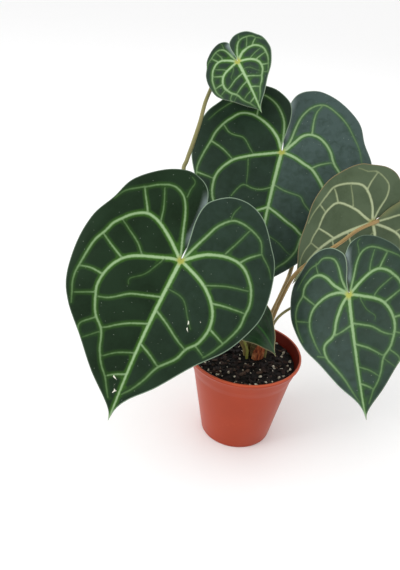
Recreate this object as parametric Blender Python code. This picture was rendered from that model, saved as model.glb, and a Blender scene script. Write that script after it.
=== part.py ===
"""A velvet-leaf aroid in a small plastic nursery pot: pot, soil, short stem, papery sheaths, leaf stalks and blades.

The origin is the middle of the pot's flat underside, +Z is up and the plant's front faces -Y.
"""

import math
import random

import bpy
from mathutils import Matrix, Vector
from mathutils.geometry import delaunay_2d_cdt

MM = 0.001
GAP = 0.3 * MM

# Nursery pot
POT_HEIGHT = 87.4 * MM
POT_RIM_RADIUS = 52.5 * MM
POT_BASE_RADIUS = 33 * MM
POT_FLOOR = 1.6 * MM
FLARE_BOTTOM = 69 * MM
UNDER_FLARE_RADIUS = 45.9 * MM
DRAIN_HOLES = 6
DRAIN_RING_RADIUS = 21 * MM
DRAIN_HOLE_RADIUS = 3.5 * MM

# Soil and what grows out of it
SOIL_TOP = 77.9 * MM
CROWN = Vector((10.7 * MM, 8.4 * MM, 0))
STEM_RADIUS = 5.6 * MM
STEM_TOP = 94 * MM
ROOT_DEPTH = 60 * MM
BARK_CHIPS = 24
PERLITE_GRAINS = 26

# Leaf blades
BLADE_THICKNESS = 0.9 * MM
RIB_BELOW = 0.9 * MM
RIB_ABOVE = 0.25 * MM
RIB_HALF_WIDTH = 2.6 * MM
STALK_SIDES = 10

# Half outlines of the heart, from the stalk round the lobe to the tip. The blade's length is 1.
HALF_NEAR = (
    (0, 0), (0.012, -0.03), (0.015, -0.08), (0.004, -0.15), (-0.015, -0.24), (-0.010, -0.33),
    (0.025, -0.392), (0.122, -0.458), (0.243, -0.468), (0.355, -0.414), (0.459, -0.292), (0.519, -0.208),
    (0.555, -0.082), (0.566, 0.082), (0.536, 0.207), (0.456, 0.371), (0.318, 0.533), (0.178, 0.723),
    (0.064, 0.844), (0.016, 0.923), (0, 1),
)
HALF_FAR = (
    (0, 0), (0.012, -0.03), (0.016, -0.09), (0.006, -0.2), (0.004, -0.3), (0.006, -0.385),
    (0.035, -0.45), (0.093, -0.487), (0.186, -0.495), (0.317, -0.436), (0.45, -0.313), (0.506, -0.168),
    (0.569, -0.026), (0.587, 0.153), (0.556, 0.348), (0.479, 0.483), (0.335, 0.631), (0.198, 0.779),
    (0.070, 0.892), (0.018, 0.95), (0, 1),
)

# Raised veins of each half: how tall, then the points they pass
VEINS_NEAR = (
    (1.0, (0.01, -0.02), (0.06, -0.14), (0.11, -0.25), (0.17, -0.33), (0.24, -0.345), (0.32, -0.33), (0.38, -0.30),
     (0.41, -0.23), (0.47, -0.20), (0.51, -0.155)),
    (1.0, (0.015, -0.01), (0.11, -0.09), (0.19, -0.12), (0.27, -0.135), (0.34, -0.12), (0.40, -0.07), (0.44, 0.0),
     (0.475, 0.08), (0.465, 0.15), (0.47, 0.21), (0.42, 0.34), (0.34, 0.48)),
    (1.0, (0.015, 0.005), (0.08, 0.03), (0.15, 0.06), (0.22, 0.105), (0.28, 0.17), (0.315, 0.28), (0.295, 0.40),
     (0.255, 0.44), (0.23, 0.50), (0.13, 0.63), (0.10, 0.71), (0.045, 0.81)),
    (0.6, (0.012, 0.32), (0.09, 0.37), (0.18, 0.42), (0.235, 0.455)),
    (0.6, (0.012, 0.52), (0.07, 0.56), (0.12, 0.60)),
    (0.6, (0.29, 0.165), (0.35, 0.14), (0.46, 0.12)),
    (0.6, (0.33, -0.135), (0.36, -0.18), (0.40, -0.23)),
)
VEINS_FAR = (
    (1.0, (0.01, -0.02), (0.06, -0.16), (0.10, -0.28), (0.16, -0.36), (0.23, -0.38), (0.31, -0.34), (0.37, -0.30),
     (0.44, -0.25), (0.49, -0.18)),
    (1.0, (0.015, -0.01), (0.11, -0.09), (0.20, -0.15), (0.28, -0.17), (0.35, -0.14), (0.40, -0.08), (0.45, -0.02),
     (0.46, 0.05), (0.50, 0.11), (0.515, 0.27), (0.51, 0.36), (0.45, 0.48)),
    (1.0, (0.015, 0.005), (0.13, 0.04), (0.21, 0.07), (0.30, 0.12), (0.34, 0.19), (0.37, 0.27), (0.365, 0.36),
     (0.30, 0.49), (0.25, 0.54), (0.175, 0.68), (0.095, 0.79), (0.05, 0.88)),
    (0.6, (0.012, 0.24), (0.11, 0.28), (0.19, 0.31), (0.27, 0.36), (0.34, 0.395)),
    (0.8, (0.012, 0.41), (0.10, 0.45), (0.18, 0.50), (0.24, 0.535)),
    (0.6, (0.012, 0.71), (0.07, 0.75), (0.10, 0.775)),
    (0.6, (0.32, 0.135), (0.39, 0.09), (0.45, 0.05)),
    (0.6, (0.29, -0.165), (0.33, -0.23), (0.365, -0.29)),
    (0.6, (0.375, 0.26), (0.44, 0.255), (0.505, 0.27)),
)

# Each leaf: where the stalk meets the blade, the tip, the way the upper face looks (mm), its form, and its stalk's path
LEAVES = {
    "1": dict(
        joint=(-64.4, -15, 181.8), tip=(-110.8, -94.4, 71.8), up=(0.104, -0.827, 0.553),
        near=1, width=1.00, lobe=1.03, bow=4.5, fold=0.07, curl=5, wave=2.2, waves=1.6, phase=(0.5, 2.6), bend=-2.6,
        veined=True, spacing=6.5, radius=2.1,
        path=((1.7, 8.4), (-2.5, 9, 90), (-16, 9, 108), (-38, 10, 136), (-58, 5, 160)),
    ),
    "2": dict(
        joint=(22.9, 143.6, 232.6), tip=(7, 63.7, 111.1), up=(-0.073, -0.829, 0.554),
        near=-1, width=1.08, lobe=0.97, bow=6.6, fold=0.05, curl=4, wave=2.4, waves=1.4, phase=(1.9, 0.4), bend=-3.0,
        veined=True, spacing=7.5, radius=2,
        path=((12.7, 17.4), (16, 20.5, 98), (24, 30.2, 114.7), (33.3, 52.4, 125.9), (42, 80.8, 133.7),
              (48.5, 110, 153.6), (50.6, 135.8, 181.6), (44.9, 156, 209.6)),
    ),
    "3": dict(
        joint=(109.3, 74.4, 194.4), tip=(35.9, 17.6, 152.2), up=(-0.303, 0.789, -0.534),
        near=1, width=0.98, lobe=1.00, bow=6.4, fold=0.06, curl=3, wave=1.5, waves=1.3, phase=(0.2, 2), bend=9.7,
        veined=True, spacing=7, radius=1.8,
        path=((18.2, 14.4), (20, 16, 98), (25, 20, 121), (31.3, 21.8, 143), (35.2, 16.3, 159.8),
              (43.3, 25.5, 165), (57.1, 33.1, 173.6), (76.3, 42.8, 184.9), (92.4, 52.9, 194.9)),
    ),
    "4": dict(
        joint=(78.6, -20.8, 167.1), tip=(95.5, -90.7, 93.3), up=(-0.652, -0.619, 0.437),
        near=-1, width=0.99, lobe=0.96, bow=6.0, fold=0.06, curl=3.5, wave=1.6, waves=1.3, phase=(2.4, 0.9), bend=2.0,
        veined=True, spacing=6.5, radius=1.25,
        path=((19.7, 7.4), (21, 8.6, 98), (25.5, 10.9, 117), (37.7, 14.2, 129.1), (54.8, 12.8, 141.2),
              (67.9, 3, 152.3), (75.6, -7.7, 159.8)),
    ),
    "5": dict(
        joint=(-8.6, 0.7, 127.5), tip=(25.6, -24.2, 100.5), up=(0.438, -0.312, 0.843),
        near=1, width=1.05, lobe=1.00, bow=5.8, fold=0.1, curl=1.5, wave=0.8, waves=1, phase=(0.8, 2.2), bend=1.0,
        veined=False, spacing=5.5, radius=1.4,
        path=((2.7, 0.9), (2.2, 2.6, 87.5), (-0.9, 4.9, 94.5), (-5.3, 8.4, 104.3)),
    ),
    "6": dict(
        joint=(-29.2, 175, 310), tip=(-2.2, 133.7, 272.5), up=(-0.347, -0.744, 0.571),
        near=1, width=0.98, lobe=1.00, bow=3.0, fold=0.09, curl=2, wave=1.2, waves=1.2, phase=(0.3, 1.7), bend=1.0,
        veined=True, spacing=6.5, radius=2.1,
        path=((4.2, 15.9), (-5, 26, 106), (-34, 60, 158), (-58, 90, 196), (-72, 108.7, 215.1),
              (-70.2, 115.4, 225.2), (-65.9, 126.6, 239.1), (-61.1, 142.7, 255.9),
              (-56.6, 167.6, 273.9), (-45.8, 193.2, 293.2)),
    ),
}


def clear_scene():
    for item in list(bpy.data.objects):
        bpy.data.objects.remove(item, do_unlink=True)


def plain_material(name, color, roughness):
    material = bpy.data.materials.new(name)
    material.use_nodes = True
    shader = material.node_tree.nodes["Principled BSDF"]
    shader.inputs["Base Color"].default_value = (*color, 1)
    shader.inputs["Roughness"].default_value = roughness
    return material


def new_object(name, points, faces, material, smooth=True):
    mesh = bpy.data.meshes.new(name)
    mesh.from_pydata([tuple(p) for p in points], [], faces)
    mesh.materials.append(material)
    for face in mesh.polygons:
        face.use_smooth = smooth
    item = bpy.data.objects.new(name, mesh)
    bpy.context.scene.collection.objects.link(item)
    return item


def boolean(item, other, operation):
    """Cuts the other object from this one, or adds it, and hides the other."""
    modifier = item.modifiers.new(other.name, "BOOLEAN")
    modifier.operation = operation
    modifier.object = other
    modifier.solver = "EXACT"
    modifier.use_self = operation == "UNION"
    other.hide_render = True
    other.display_type = "WIRE"


def lathe(profile, segments):
    """Points and faces of a profile turned about Z. It starts and ends on the axis, going up the outside."""
    points = []
    rings = []
    for radius, height in profile:
        if radius == 0:
            rings.append([len(points)])
            points.append((0, 0, height))
            continue
        rings.append(list(range(len(points), len(points) + segments)))
        for step in range(segments):
            angle = 2 * math.pi * step / segments
            points.append((radius * math.cos(angle), radius * math.sin(angle), height))
    faces = []
    for low, high in zip(rings, rings[1:]):
        for step in range(segments):
            after = (step + 1) % segments
            if len(low) == 1:
                faces.append((low[0], high[after], high[step]))
            elif len(high) == 1:
                faces.append((low[step], low[after], high[0]))
            else:
                faces.append((low[step], low[after], high[after], high[step]))
    return points, faces


def make_pot():
    rim = POT_RIM_RADIUS
    top = POT_HEIGHT
    under = UNDER_FLARE_RADIUS
    level = FLARE_BOTTOM
    profile = (
        (0, 0), (POT_BASE_RADIUS - 1.2 * MM, 0), (POT_BASE_RADIUS, 1.2 * MM),
        (under, level), (under + 2.3 * MM, level + 5.0 * MM), (rim - 2.6 * MM, top - 6.8 * MM),
        (rim - 1.3 * MM, top - 4.0 * MM), (rim - 0.3 * MM, top - 2.8 * MM), (rim, top - 1.8 * MM),
        (rim - 0.2 * MM, top - 0.6 * MM), (rim - 0.9 * MM, top), (rim - 1.8 * MM, top - 0.2 * MM),
        (rim - 2.7 * MM, top - 2.6 * MM), (rim - 4.2 * MM, top - 7.8 * MM),
        (under + 1.0 * MM, level + 5.6 * MM), (under - 1.2 * MM, level + 0.6 * MM),
        (POT_BASE_RADIUS - 0.6 * MM, POT_FLOOR + 1.0 * MM), (POT_BASE_RADIUS - 2.0 * MM, POT_FLOOR), (0, POT_FLOOR),
    )
    points, faces = lathe(profile, 56)
    pot = new_object("pot", points, faces, plain_material("terracotta_plastic", (0.49, 0.10, 0.04), 0.35))
    for hole in range(DRAIN_HOLES):
        angle = 2 * math.pi * (hole + 0.5) / DRAIN_HOLES
        drill, drill_faces = lathe(((0, -2 * MM), (DRAIN_HOLE_RADIUS, -2 * MM), (DRAIN_HOLE_RADIUS, 5 * MM), (0, 5 * MM)), 14)
        across = DRAIN_RING_RADIUS * math.cos(angle)
        along = DRAIN_RING_RADIUS * math.sin(angle)
        drill = [(x + across, y + along, z) for x, y, z in drill]
        boolean(pot, new_object("drill_%d" % hole, drill, drill_faces, pot.data.materials[0]), "DIFFERENCE")
    return pot


def soil_height(x, y):
    """The lie of the soil's top: low hummocks, a little lower at the wall."""
    wide = math.sin(x * 130 + 0.6) * math.cos(y * 115 - 0.4)
    small = math.sin(x * 410 + y * 260) * math.cos(y * 370 - x * 150 + 1.1)
    edge = min(1, math.hypot(x, y) / (48 * MM))
    return SOIL_TOP + (0.9 * wide + 0.7 * small) * MM * (1 - 0.5 * edge ** 4) - 1.2 * MM * edge ** 6


def make_soil():
    profile = [(0, POT_FLOOR + GAP), (POT_BASE_RADIUS - 2.6 * MM, POT_FLOOR + GAP),
               (POT_BASE_RADIUS - 1.1 * MM, POT_FLOOR + 1.6 * MM), (44.1 * MM, FLARE_BOTTOM + 0.2 * MM),
               (46.2 * MM, FLARE_BOTTOM + 5.2 * MM), (46.5 * MM, FLARE_BOTTOM + 6.2 * MM)]
    rings = 11
    profile += [(46.9 * MM * (1 - step / rings), SOIL_TOP) for step in range(rings + 1)]
    points, faces = lathe(profile, 40)
    first_top = 1 + 5 * 40
    points = [p if index < first_top else (p[0], p[1], soil_height(p[0], p[1])) for index, p in enumerate(points)]
    material = plain_material("potting_mix", (0.02, 0.014, 0.010), 0.9)
    soil = new_object("soil", points, faces, material, smooth=False)
    boolean(soil, make_grains(material), "UNION")
    return soil


def grain_spots(count, dice, clear_of_crown):
    spots = []
    while len(spots) < count:
        angle = dice.uniform(0, 2 * math.pi)
        radius = 41.5 * MM * math.sqrt(dice.random())
        x, y = radius * math.cos(angle), radius * math.sin(angle)
        if math.hypot(x - CROWN.x, y - CROWN.y) < clear_of_crown:
            continue
        if all(math.hypot(x - a, y - b) > 4.4 * MM for a, b in spots):
            spots.append((x, y))
    return spots


def make_grains(material):
    """Bark chips as tilted slabs and perlite as small faceted balls, all half sunk."""
    dice = random.Random(7)
    points, faces = [], []
    for number, (x, y) in enumerate(grain_spots(BARK_CHIPS + PERLITE_GRAINS, dice, 17 * MM)):
        turn = Matrix.Rotation(dice.uniform(0, 6.28), 3, "Z") @ Matrix.Rotation(dice.uniform(-0.5, 0.5), 3, "X")
        if number < BARK_CHIPS:
            half = Vector((dice.uniform(2.2, 4.2), dice.uniform(1.2, 2.2), dice.uniform(0.7, 1.1))) * MM
            shape = [(a, b, c) for a in (-1, 1) for b in (-1, 1) for c in (-1, 1)]
            skin = [(0, 1, 3, 2), (4, 6, 7, 5), (0, 4, 5, 1), (2, 3, 7, 6), (0, 2, 6, 4), (1, 5, 7, 3)]
        else:
            half = Vector((1, 0.85, 0.8)) * dice.uniform(0.9, 1.6) * MM
            shape = [(1, 0, 0), (-1, 0, 0), (0, 1, 0), (0, -1, 0), (0, 0, 1), (0, 0, -1)]
            skin = [(0, 2, 4), (2, 1, 4), (1, 3, 4), (3, 0, 4), (2, 0, 5), (1, 2, 5), (3, 1, 5), (0, 3, 5)]
        centre = Vector((x, y, soil_height(x, y) - 0.1 * half.z))
        first = len(points)
        points += [centre + turn @ Vector((a * half.x, b * half.y, c * half.z)) for a, b, c in shape]
        faces += [tuple(first + corner for corner in face) for face in skin]
    return new_object("soil_grains", points, faces, material, smooth=False)


def smooth_path(points, step):
    """A Catmull-Rom curve through the points, resampled about one step apart."""
    ends = [2 * points[0] - points[1], *points, 2 * points[-1] - points[-2]]
    dense = []
    for a, b, c, d in zip(ends, ends[1:], ends[2:], ends[3:]):
        for part in range(12):
            t = part / 12
            dense.append(0.5 * (2 * b + (c - a) * t + (2 * a - 5 * b + 4 * c - d) * t * t + (3 * b - a - 3 * c + d) * t ** 3))
    dense.append(points[-1])
    lengths = [0]
    for a, b in zip(dense, dense[1:]):
        lengths.append(lengths[-1] + (b - a).length)
    count = max(2, round(lengths[-1] / step))
    path = []
    at = 0
    for number in range(count + 1):
        want = lengths[-1] * number / count
        while at < len(dense) - 2 and lengths[at + 1] < want:
            at += 1
        share = (want - lengths[at]) / max(lengths[at + 1] - lengths[at], 1e-9)
        path.append(dense[at].lerp(dense[at + 1], min(1, share)))
    return path


def tube(path, radii, sides):
    """Points and faces of a round rod along a path, closed at both ends."""
    points, faces = [], []
    across = Vector((1, 0, 0))
    last = len(path) - 1
    for index, (centre, radius) in enumerate(zip(path, radii)):
        along = (path[min(index + 1, last)] - path[max(index - 1, 0)]).normalized()
        across = (across - along * across.dot(along)).normalized()
        up = along.cross(across)
        for side in range(sides):
            angle = 2 * math.pi * side / sides
            points.append(centre + radius * (math.cos(angle) * across + math.sin(angle) * up))
    for index in range(last):
        for side in range(sides):
            low, high = index * sides, (index + 1) * sides
            after = (side + 1) % sides
            faces.append((low + side, low + after, high + after, high + side))
    faces.append(tuple(reversed(range(sides))))
    faces.append(tuple(range(last * sides, (last + 1) * sides)))
    return points, faces


def stalk_path(leaf):
    """From the foot in the soil to just under the blade, meeting the blade square."""
    foot_x, foot_y = leaf["path"][0]
    up = Vector(leaf["up"]).normalized()
    joint = Vector(leaf["joint"])
    end = joint - up * ((BLADE_THICKNESS / 2 + RIB_BELOW) / MM + 0.45)
    points = [Vector((foot_x, foot_y, ROOT_DEPTH / MM)), Vector((foot_x, foot_y, SOIL_TOP / MM + 2))]
    points += [Vector(p) for p in leaf["path"][1:]]
    points += [joint - up * 8, end]
    return smooth_path([p * MM for p in points], 9 * MM)


def make_stalk(number, leaf):
    path = stalk_path(leaf)
    radii = []
    for index in range(len(path)):
        share = index / (len(path) - 1)
        radius = leaf["radius"] * (1.12 - 0.2 * share)
        if share > 0.93:
            radius *= 1.18
        radii.append(radius * MM)
    points, faces = tube(path, radii, STALK_SIDES)
    new_object("stalk_" + number, points, faces, plain_material("stalk", (0.26, 0.19, 0.09), 0.5))
    return path, radii


def make_socket(number, path, radii):
    """The hole that a stalk stands in."""
    above = next(index for index, p in enumerate(path) if p.z > SOIL_TOP + 3 * MM)
    depth = path[:above + 1]
    depth[0] = depth[0] - Vector((0, 0, GAP))
    points, faces = tube(depth, [max(radii) + GAP] * len(depth), STALK_SIDES)
    return new_object("socket_" + number, points, faces, bpy.data.materials["potting_mix"])


def make_stem():
    radius = STEM_RADIUS
    profile = [(0, ROOT_DEPTH), (radius * 0.9, ROOT_DEPTH)]
    level = SOIL_TOP - 4 * MM
    while level < STEM_TOP - 5 * MM:
        profile += [(radius, level), (radius * 0.9, level + 3.2 * MM)]
        level += 4 * MM
    profile += [(radius * 0.86, STEM_TOP - 2 * MM), (radius * 0.5, STEM_TOP), (0, STEM_TOP + 0.6 * MM)]
    points, faces = lathe(profile, 20)
    points = [Vector(p) + CROWN for p in points]
    new_object("stem", points, faces, plain_material("stem_skin", (0.12, 0.10, 0.04), 0.7))
    hole = lathe(((0, ROOT_DEPTH - GAP), (radius + GAP, ROOT_DEPTH - GAP), (radius + GAP, 86 * MM), (0, 86 * MM)), 20)
    return new_object("socket_stem", [Vector(p) + CROWN for p in hole[0]], hole[1], bpy.data.materials["potting_mix"])


def sheath_shell(middle, spread, low, high, inner, thickness, lean):
    """A pointed papery leaf sheath, wrapped part of the way round the stem."""
    around, rows = 8, 8
    points = []
    for layer in range(2):
        for row in range(rows + 1):
            rise = row / rows
            half = spread / 2 * (1 - 0.86 * rise ** 2.2)
            for step in range(around + 1):
                turn = middle + half * (2 * step / around - 1)
                radius = inner + layer * thickness + lean * rise ** 2
                points.append(CROWN + Vector((radius * math.cos(turn), radius * math.sin(turn), low + (high - low) * rise)))
    wide = around + 1
    count = wide * (rows + 1)
    faces = []
    for row in range(rows):
        for step in range(around):
            a = row * wide + step
            faces.append((a, a + wide, a + wide + 1, a + 1))
            faces.append((count + a, count + a + 1, count + a + wide + 1, count + a + wide))
    rim = [step for step in range(wide)]
    rim += [row * wide + around for row in range(1, rows + 1)]
    rim += [rows * wide + step for step in reversed(range(around))]
    rim += [row * wide for row in reversed(range(1, rows))]
    for a, b in zip(rim, rim[1:] + rim[:1]):
        faces.append((a, b, count + b, count + a))
    return points, faces


def make_sheaths(soil):
    """Two dry sheaths between the stalks, each in its own slit in the soil."""
    material = plain_material("papery_sheath", (0.22, 0.06, 0.025), 0.7)
    wraps = (("1", -1.25, 1.6, 103, 4.0, 8.0 * MM), ("2", 1.82, 0.46, 97, 3.0, 11.9 * MM))
    for number, middle, spread, high, lean, inner in wraps:
        low = SOIL_TOP - 6 * MM
        points, faces = sheath_shell(middle, spread, low, high * MM, inner, 0.7 * MM, lean * MM)
        new_object("sheath_" + number, points, faces, material)
        slit = sheath_shell(middle, spread + 0.06, low - GAP, (high + 1) * MM, inner - GAP, 1.3 * MM, lean * MM)
        boolean(soil, new_object("slit_" + number, *slit, material), "DIFFERENCE")


def curve_2d(points, step):
    path = smooth_path([Vector((p[0], p[1], 0)) for p in points], step)
    return [(p.x, p.y) for p in path]


def distance_to_line(x, y, line):
    best = 9.0
    for (ax, ay), (bx, by) in zip(line, line[1:]):
        dx, dy = bx - ax, by - ay
        along = max(0, min(1, ((x - ax) * dx + (y - ay) * dy) / (dx * dx + dy * dy)))
        best = min(best, math.hypot(x - ax - along * dx, y - ay - along * dy))
    return best


def flat_half(outline, veins, step):
    """One half of a blade laid flat: its points, triangles and vein lines, all for a blade of length 1."""
    margin = curve_2d(outline, step)
    rows = round(1 / step)
    midrib = [(0, 1 - row / rows) for row in range(1, rows)]
    lines = [(vein[0], curve_2d(vein[1:], step)) for vein in veins]
    points = margin + midrib
    edges = [(index, (index + 1) % len(points)) for index in range(len(points))]
    for _, line in lines:
        first = len(points)
        points += line
        edges += [(first + index, first + index + 1) for index in range(len(line) - 1)]
    kept = list(points)
    dice = random.Random(3)
    row = 0
    y = -0.48
    while y < 0.97:
        x = step * 0.7 + (row % 2) * step * 0.6
        while x < 0.58:
            spot = (x + dice.uniform(-0.1, 0.1) * step, y + dice.uniform(-0.1, 0.1) * step)
            if all(math.hypot(spot[0] - a, spot[1] - b) > 0.62 * step for a, b in kept):
                points.append(spot)
                kept.append(spot)
            x += step * 1.25
        y += step * 1.1
        row += 1
    found = delaunay_2d_cdt([Vector(p) for p in points], edges, [], 1, 1e-5)
    return [(p.x, p.y) for p in found[0]], [tuple(face) for face in found[2]], lines


def fade(value):
    value = max(0, min(1, value))
    return value * value * (3 - 2 * value)


def leaf_axes(leaf):
    """Joint, length, the way to the tip, the upper face's way and the blade's own right."""
    joint = Vector(leaf["joint"]) * MM
    chord = Vector(leaf["tip"]) * MM - joint
    along = chord.normalized()
    up = Vector(leaf["up"])
    up = (up - along * up.dot(along)).normalized()
    return joint, chord.length, along, up, up.cross(along)


def shaped(leaf, axes, side, x, y):
    """A point of the flat half put where the living blade has it."""
    joint, length, along, up, right = axes
    edge = abs(x) / 0.56
    sway = leaf["bend"] * MM * math.sin(math.pi * max(0, min(1, y))) * max(0, 1 - edge)
    across = side * x * length * leaf["width"] + sway
    rise = 4 * leaf["bow"] * (y * (1 - y) if y > 0 else 0.55 * y)
    rise += leaf["fold"] * abs(x) * length / MM
    rise -= leaf["curl"] * edge ** 3
    phase = leaf["phase"][0 if side == leaf["near"] else 1]
    rise += leaf["wave"] * edge ** 2 * math.sin(2 * math.pi * leaf["waves"] * y + phase)
    if side == leaf["near"]:
        rise += 3.6 * fade(-y / 0.15) * fade((0.3 - x) / 0.3)
    reach = y * length * (leaf["lobe"] if y < 0 else 1)
    return joint + along * reach + right * across + up * (rise * MM)


def blade_sheet(leaf):
    """The blade's middle surface: points, triangles seen from above, and how tall the rib is at each point."""
    axes = leaf_axes(leaf)
    length = axes[1]
    step = leaf["spacing"] * MM / length
    points, faces, ribs = [], [], []
    on_midrib = {}
    for side in (-1, 1):
        near = side == leaf["near"]
        veins = (VEINS_NEAR if near else VEINS_FAR) if leaf["veined"] else ()
        flat, triangles, lines = flat_half(HALF_NEAR if near else HALF_FAR, veins, step)
        number = []
        for x, y in flat:
            key = round(y, 5) if abs(x) < 1e-6 and y > -1e-6 else None
            if key is not None and key in on_midrib:
                number.append(on_midrib[key])
                continue
            if key is not None:
                on_midrib[key] = len(points)
            number.append(len(points))
            points.append(shaped(leaf, axes, side, x, y))
            ribs.append(rib_height(x, y, lines, length))
        for a, b, c in triangles:
            corners = (number[a], number[b], number[c])
            faces.append(corners if side < 0 else corners[::-1])
    return points, faces, ribs


def rib_height(x, y, lines, length):
    width = RIB_HALF_WIDTH / length
    tall = max(0, 1 - abs(x) / width) if y > 0 else 0
    tall = max(tall * (1 - 0.6 * max(0, y)), 1 - math.hypot(x, y) * length / (4 * MM))
    for height, line in lines:
        away = distance_to_line(x, y, line)
        tall = max(tall, height * max(0, 1 - away / width) * (1 - 0.45 * min(1, math.hypot(x, y))))
    return tall


def make_blade(number, leaf):
    """A thin blade: the sheet copied above and below itself, with a wall round the margin."""
    sheet, triangles, ribs = blade_sheet(leaf)
    normals = [Vector((0, 0, 0)) for _ in sheet]
    for a, b, c in triangles:
        normal = (sheet[b] - sheet[a]).cross(sheet[c] - sheet[a])
        for corner in (a, b, c):
            normals[corner] += normal
    count = len(sheet)
    above = [p + n.normalized() * (BLADE_THICKNESS / 2 + RIB_ABOVE * r) for p, n, r in zip(sheet, normals, ribs)]
    below = [p - n.normalized() * (BLADE_THICKNESS / 2 + RIB_BELOW * r) for p, n, r in zip(sheet, normals, ribs)]
    faces = list(triangles) + [(count + c, count + b, count + a) for a, b, c in triangles]
    sides = {(a, b) for t in triangles for a, b in ((t[0], t[1]), (t[1], t[2]), (t[2], t[0]))}
    for a, b in sorted(sides):
        if (b, a) not in sides:
            faces += [(b, a, count + a), (b, count + a, count + b)]
    young = number == "5"
    color = (0.012, 0.075, 0.018) if young else (0.018, 0.048, 0.028)
    new_object("blade_" + number, above + below, faces, plain_material("blade_skin_" + number, color, 0.3 if young else 0.6))


def main():
    clear_scene()
    make_pot()
    soil = make_soil()
    sockets = [make_stem()]
    for number, leaf in LEAVES.items():
        sockets.append(make_socket(number, *make_stalk(number, leaf)))
        make_blade(number, leaf)
    for socket in sockets:
        boolean(soil, socket, "DIFFERENCE")
    make_sheaths(soil)


main()
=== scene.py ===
import math
import random

import bpy
import numpy as np
from mathutils import Matrix, Vector, noise
from mathutils.geometry import delaunay_2d_cdt


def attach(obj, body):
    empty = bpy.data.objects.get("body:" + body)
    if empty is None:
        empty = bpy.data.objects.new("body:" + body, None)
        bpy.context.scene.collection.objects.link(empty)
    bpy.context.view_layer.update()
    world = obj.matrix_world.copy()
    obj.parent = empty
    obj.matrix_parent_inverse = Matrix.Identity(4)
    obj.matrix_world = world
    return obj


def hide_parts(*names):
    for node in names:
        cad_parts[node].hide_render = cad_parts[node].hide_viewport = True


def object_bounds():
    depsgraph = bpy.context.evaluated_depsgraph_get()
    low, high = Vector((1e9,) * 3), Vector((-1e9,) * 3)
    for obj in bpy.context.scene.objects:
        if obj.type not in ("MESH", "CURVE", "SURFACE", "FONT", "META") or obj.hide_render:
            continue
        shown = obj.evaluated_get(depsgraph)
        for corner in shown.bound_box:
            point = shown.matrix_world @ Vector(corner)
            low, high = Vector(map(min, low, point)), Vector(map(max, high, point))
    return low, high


mm = 0.001
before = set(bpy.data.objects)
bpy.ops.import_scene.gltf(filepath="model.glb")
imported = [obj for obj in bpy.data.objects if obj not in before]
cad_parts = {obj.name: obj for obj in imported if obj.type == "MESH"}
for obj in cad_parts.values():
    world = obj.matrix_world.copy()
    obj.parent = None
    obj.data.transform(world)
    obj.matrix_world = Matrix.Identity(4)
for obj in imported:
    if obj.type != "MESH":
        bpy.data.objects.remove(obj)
cadLow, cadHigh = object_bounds()
print("frame loaded")


# Small helpers

def hexColor(text):  # sRGB hex to linear
    shares = [int(text[at:at + 2], 16) / 255 for at in (1, 3, 5)]
    return [s / 12.92 if s <= 0.04045 else ((s + 0.055) / 1.055) ** 2.4 for s in shares] + [1]


def setInputs(tree, node, inputs):  # by name or in order: a number, a hex colour or another node's output
    for key, value in inputs.items() if isinstance(inputs, dict) else enumerate(inputs):
        if isinstance(value, bpy.types.NodeSocket):
            tree.links.new(value, node.inputs[key])
        else:
            node.inputs[key].default_value = hexColor(value) if isinstance(value, str) else value


def addNode(tree, kind, inputs=(), **settings):  # one node with its settings, its values and its links
    node = tree.nodes.new("ShaderNode" + kind)
    for key, value in settings.items():
        setattr(node, key, value)
    setInputs(tree, node, inputs)
    return node.outputs


def newMaterial(name, **values):  # a principled shader with its plain values set on its own sockets
    material = bpy.data.materials.new(name)
    material.use_nodes = True
    tree = material.node_tree
    shader = tree.nodes["Principled BSDF"]
    setInputs(tree, shader, {key.replace("_", " "): value for key, value in values.items()})
    return material, tree, shader


def buildPiece(name, points, faces, materials, node, faceMaterials=None, traits=None, sharp=None):
    # a mesh in millimetres becomes a piece that stands for its CAD node
    mesh = bpy.data.meshes.new(name)
    inside = np.clip(np.asarray(points, float) * mm, np.array(cadLow) + 1e-6, np.array(cadHigh) - 1e-6)
    mesh.from_pydata(inside.tolist(), [], faces)
    for material in materials:
        mesh.materials.append(material)
    if faceMaterials is not None:
        mesh.polygons.foreach_set("material_index", faceMaterials)
    mesh.polygons.foreach_set("use_smooth", [True] * len(mesh.polygons))
    for trait, values in (traits or {}).items():
        values = np.asarray(values, float)
        flat = values.ndim == 1
        layer = mesh.attributes.new(trait, "FLOAT" if flat else "FLOAT_VECTOR", "POINT")
        layer.data.foreach_set("value" if flat else "vector", values.ravel())
    if sharp:
        mesh.set_sharp_from_angle(angle=math.radians(sharp))
    piece = bpy.data.objects.new(name, mesh)
    bpy.context.scene.collection.objects.link(piece)
    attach(piece, "root")
    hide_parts(node)
    return piece


def smoothLine(points, step):  # a Catmull-Rom curve through the points, resampled one step apart
    points = np.asarray(points, float)
    ends = np.vstack([2 * points[0] - points[1], points, 2 * points[-1] - points[-2]])
    t = np.linspace(0, 1, 24, endpoint=False)[:, None]
    dense = []
    for a, b, c, d in zip(ends, ends[1:], ends[2:], ends[3:]):
        bend, twist = 2 * a - 5 * b + 4 * c - d, 3 * b - a - 3 * c + d
        dense.append(0.5 * (2 * b + (c - a) * t + bend * t * t + twist * t ** 3))
    dense = np.vstack(dense + [points[-1:]])
    lengths = np.concatenate([[0], np.cumsum(np.linalg.norm(np.diff(dense, axis=0), axis=1))])
    wanted = np.linspace(0, lengths[-1], max(2, round(lengths[-1] / step)) + 1)
    return np.column_stack([np.interp(wanted, lengths, column) for column in dense.T])


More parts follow.
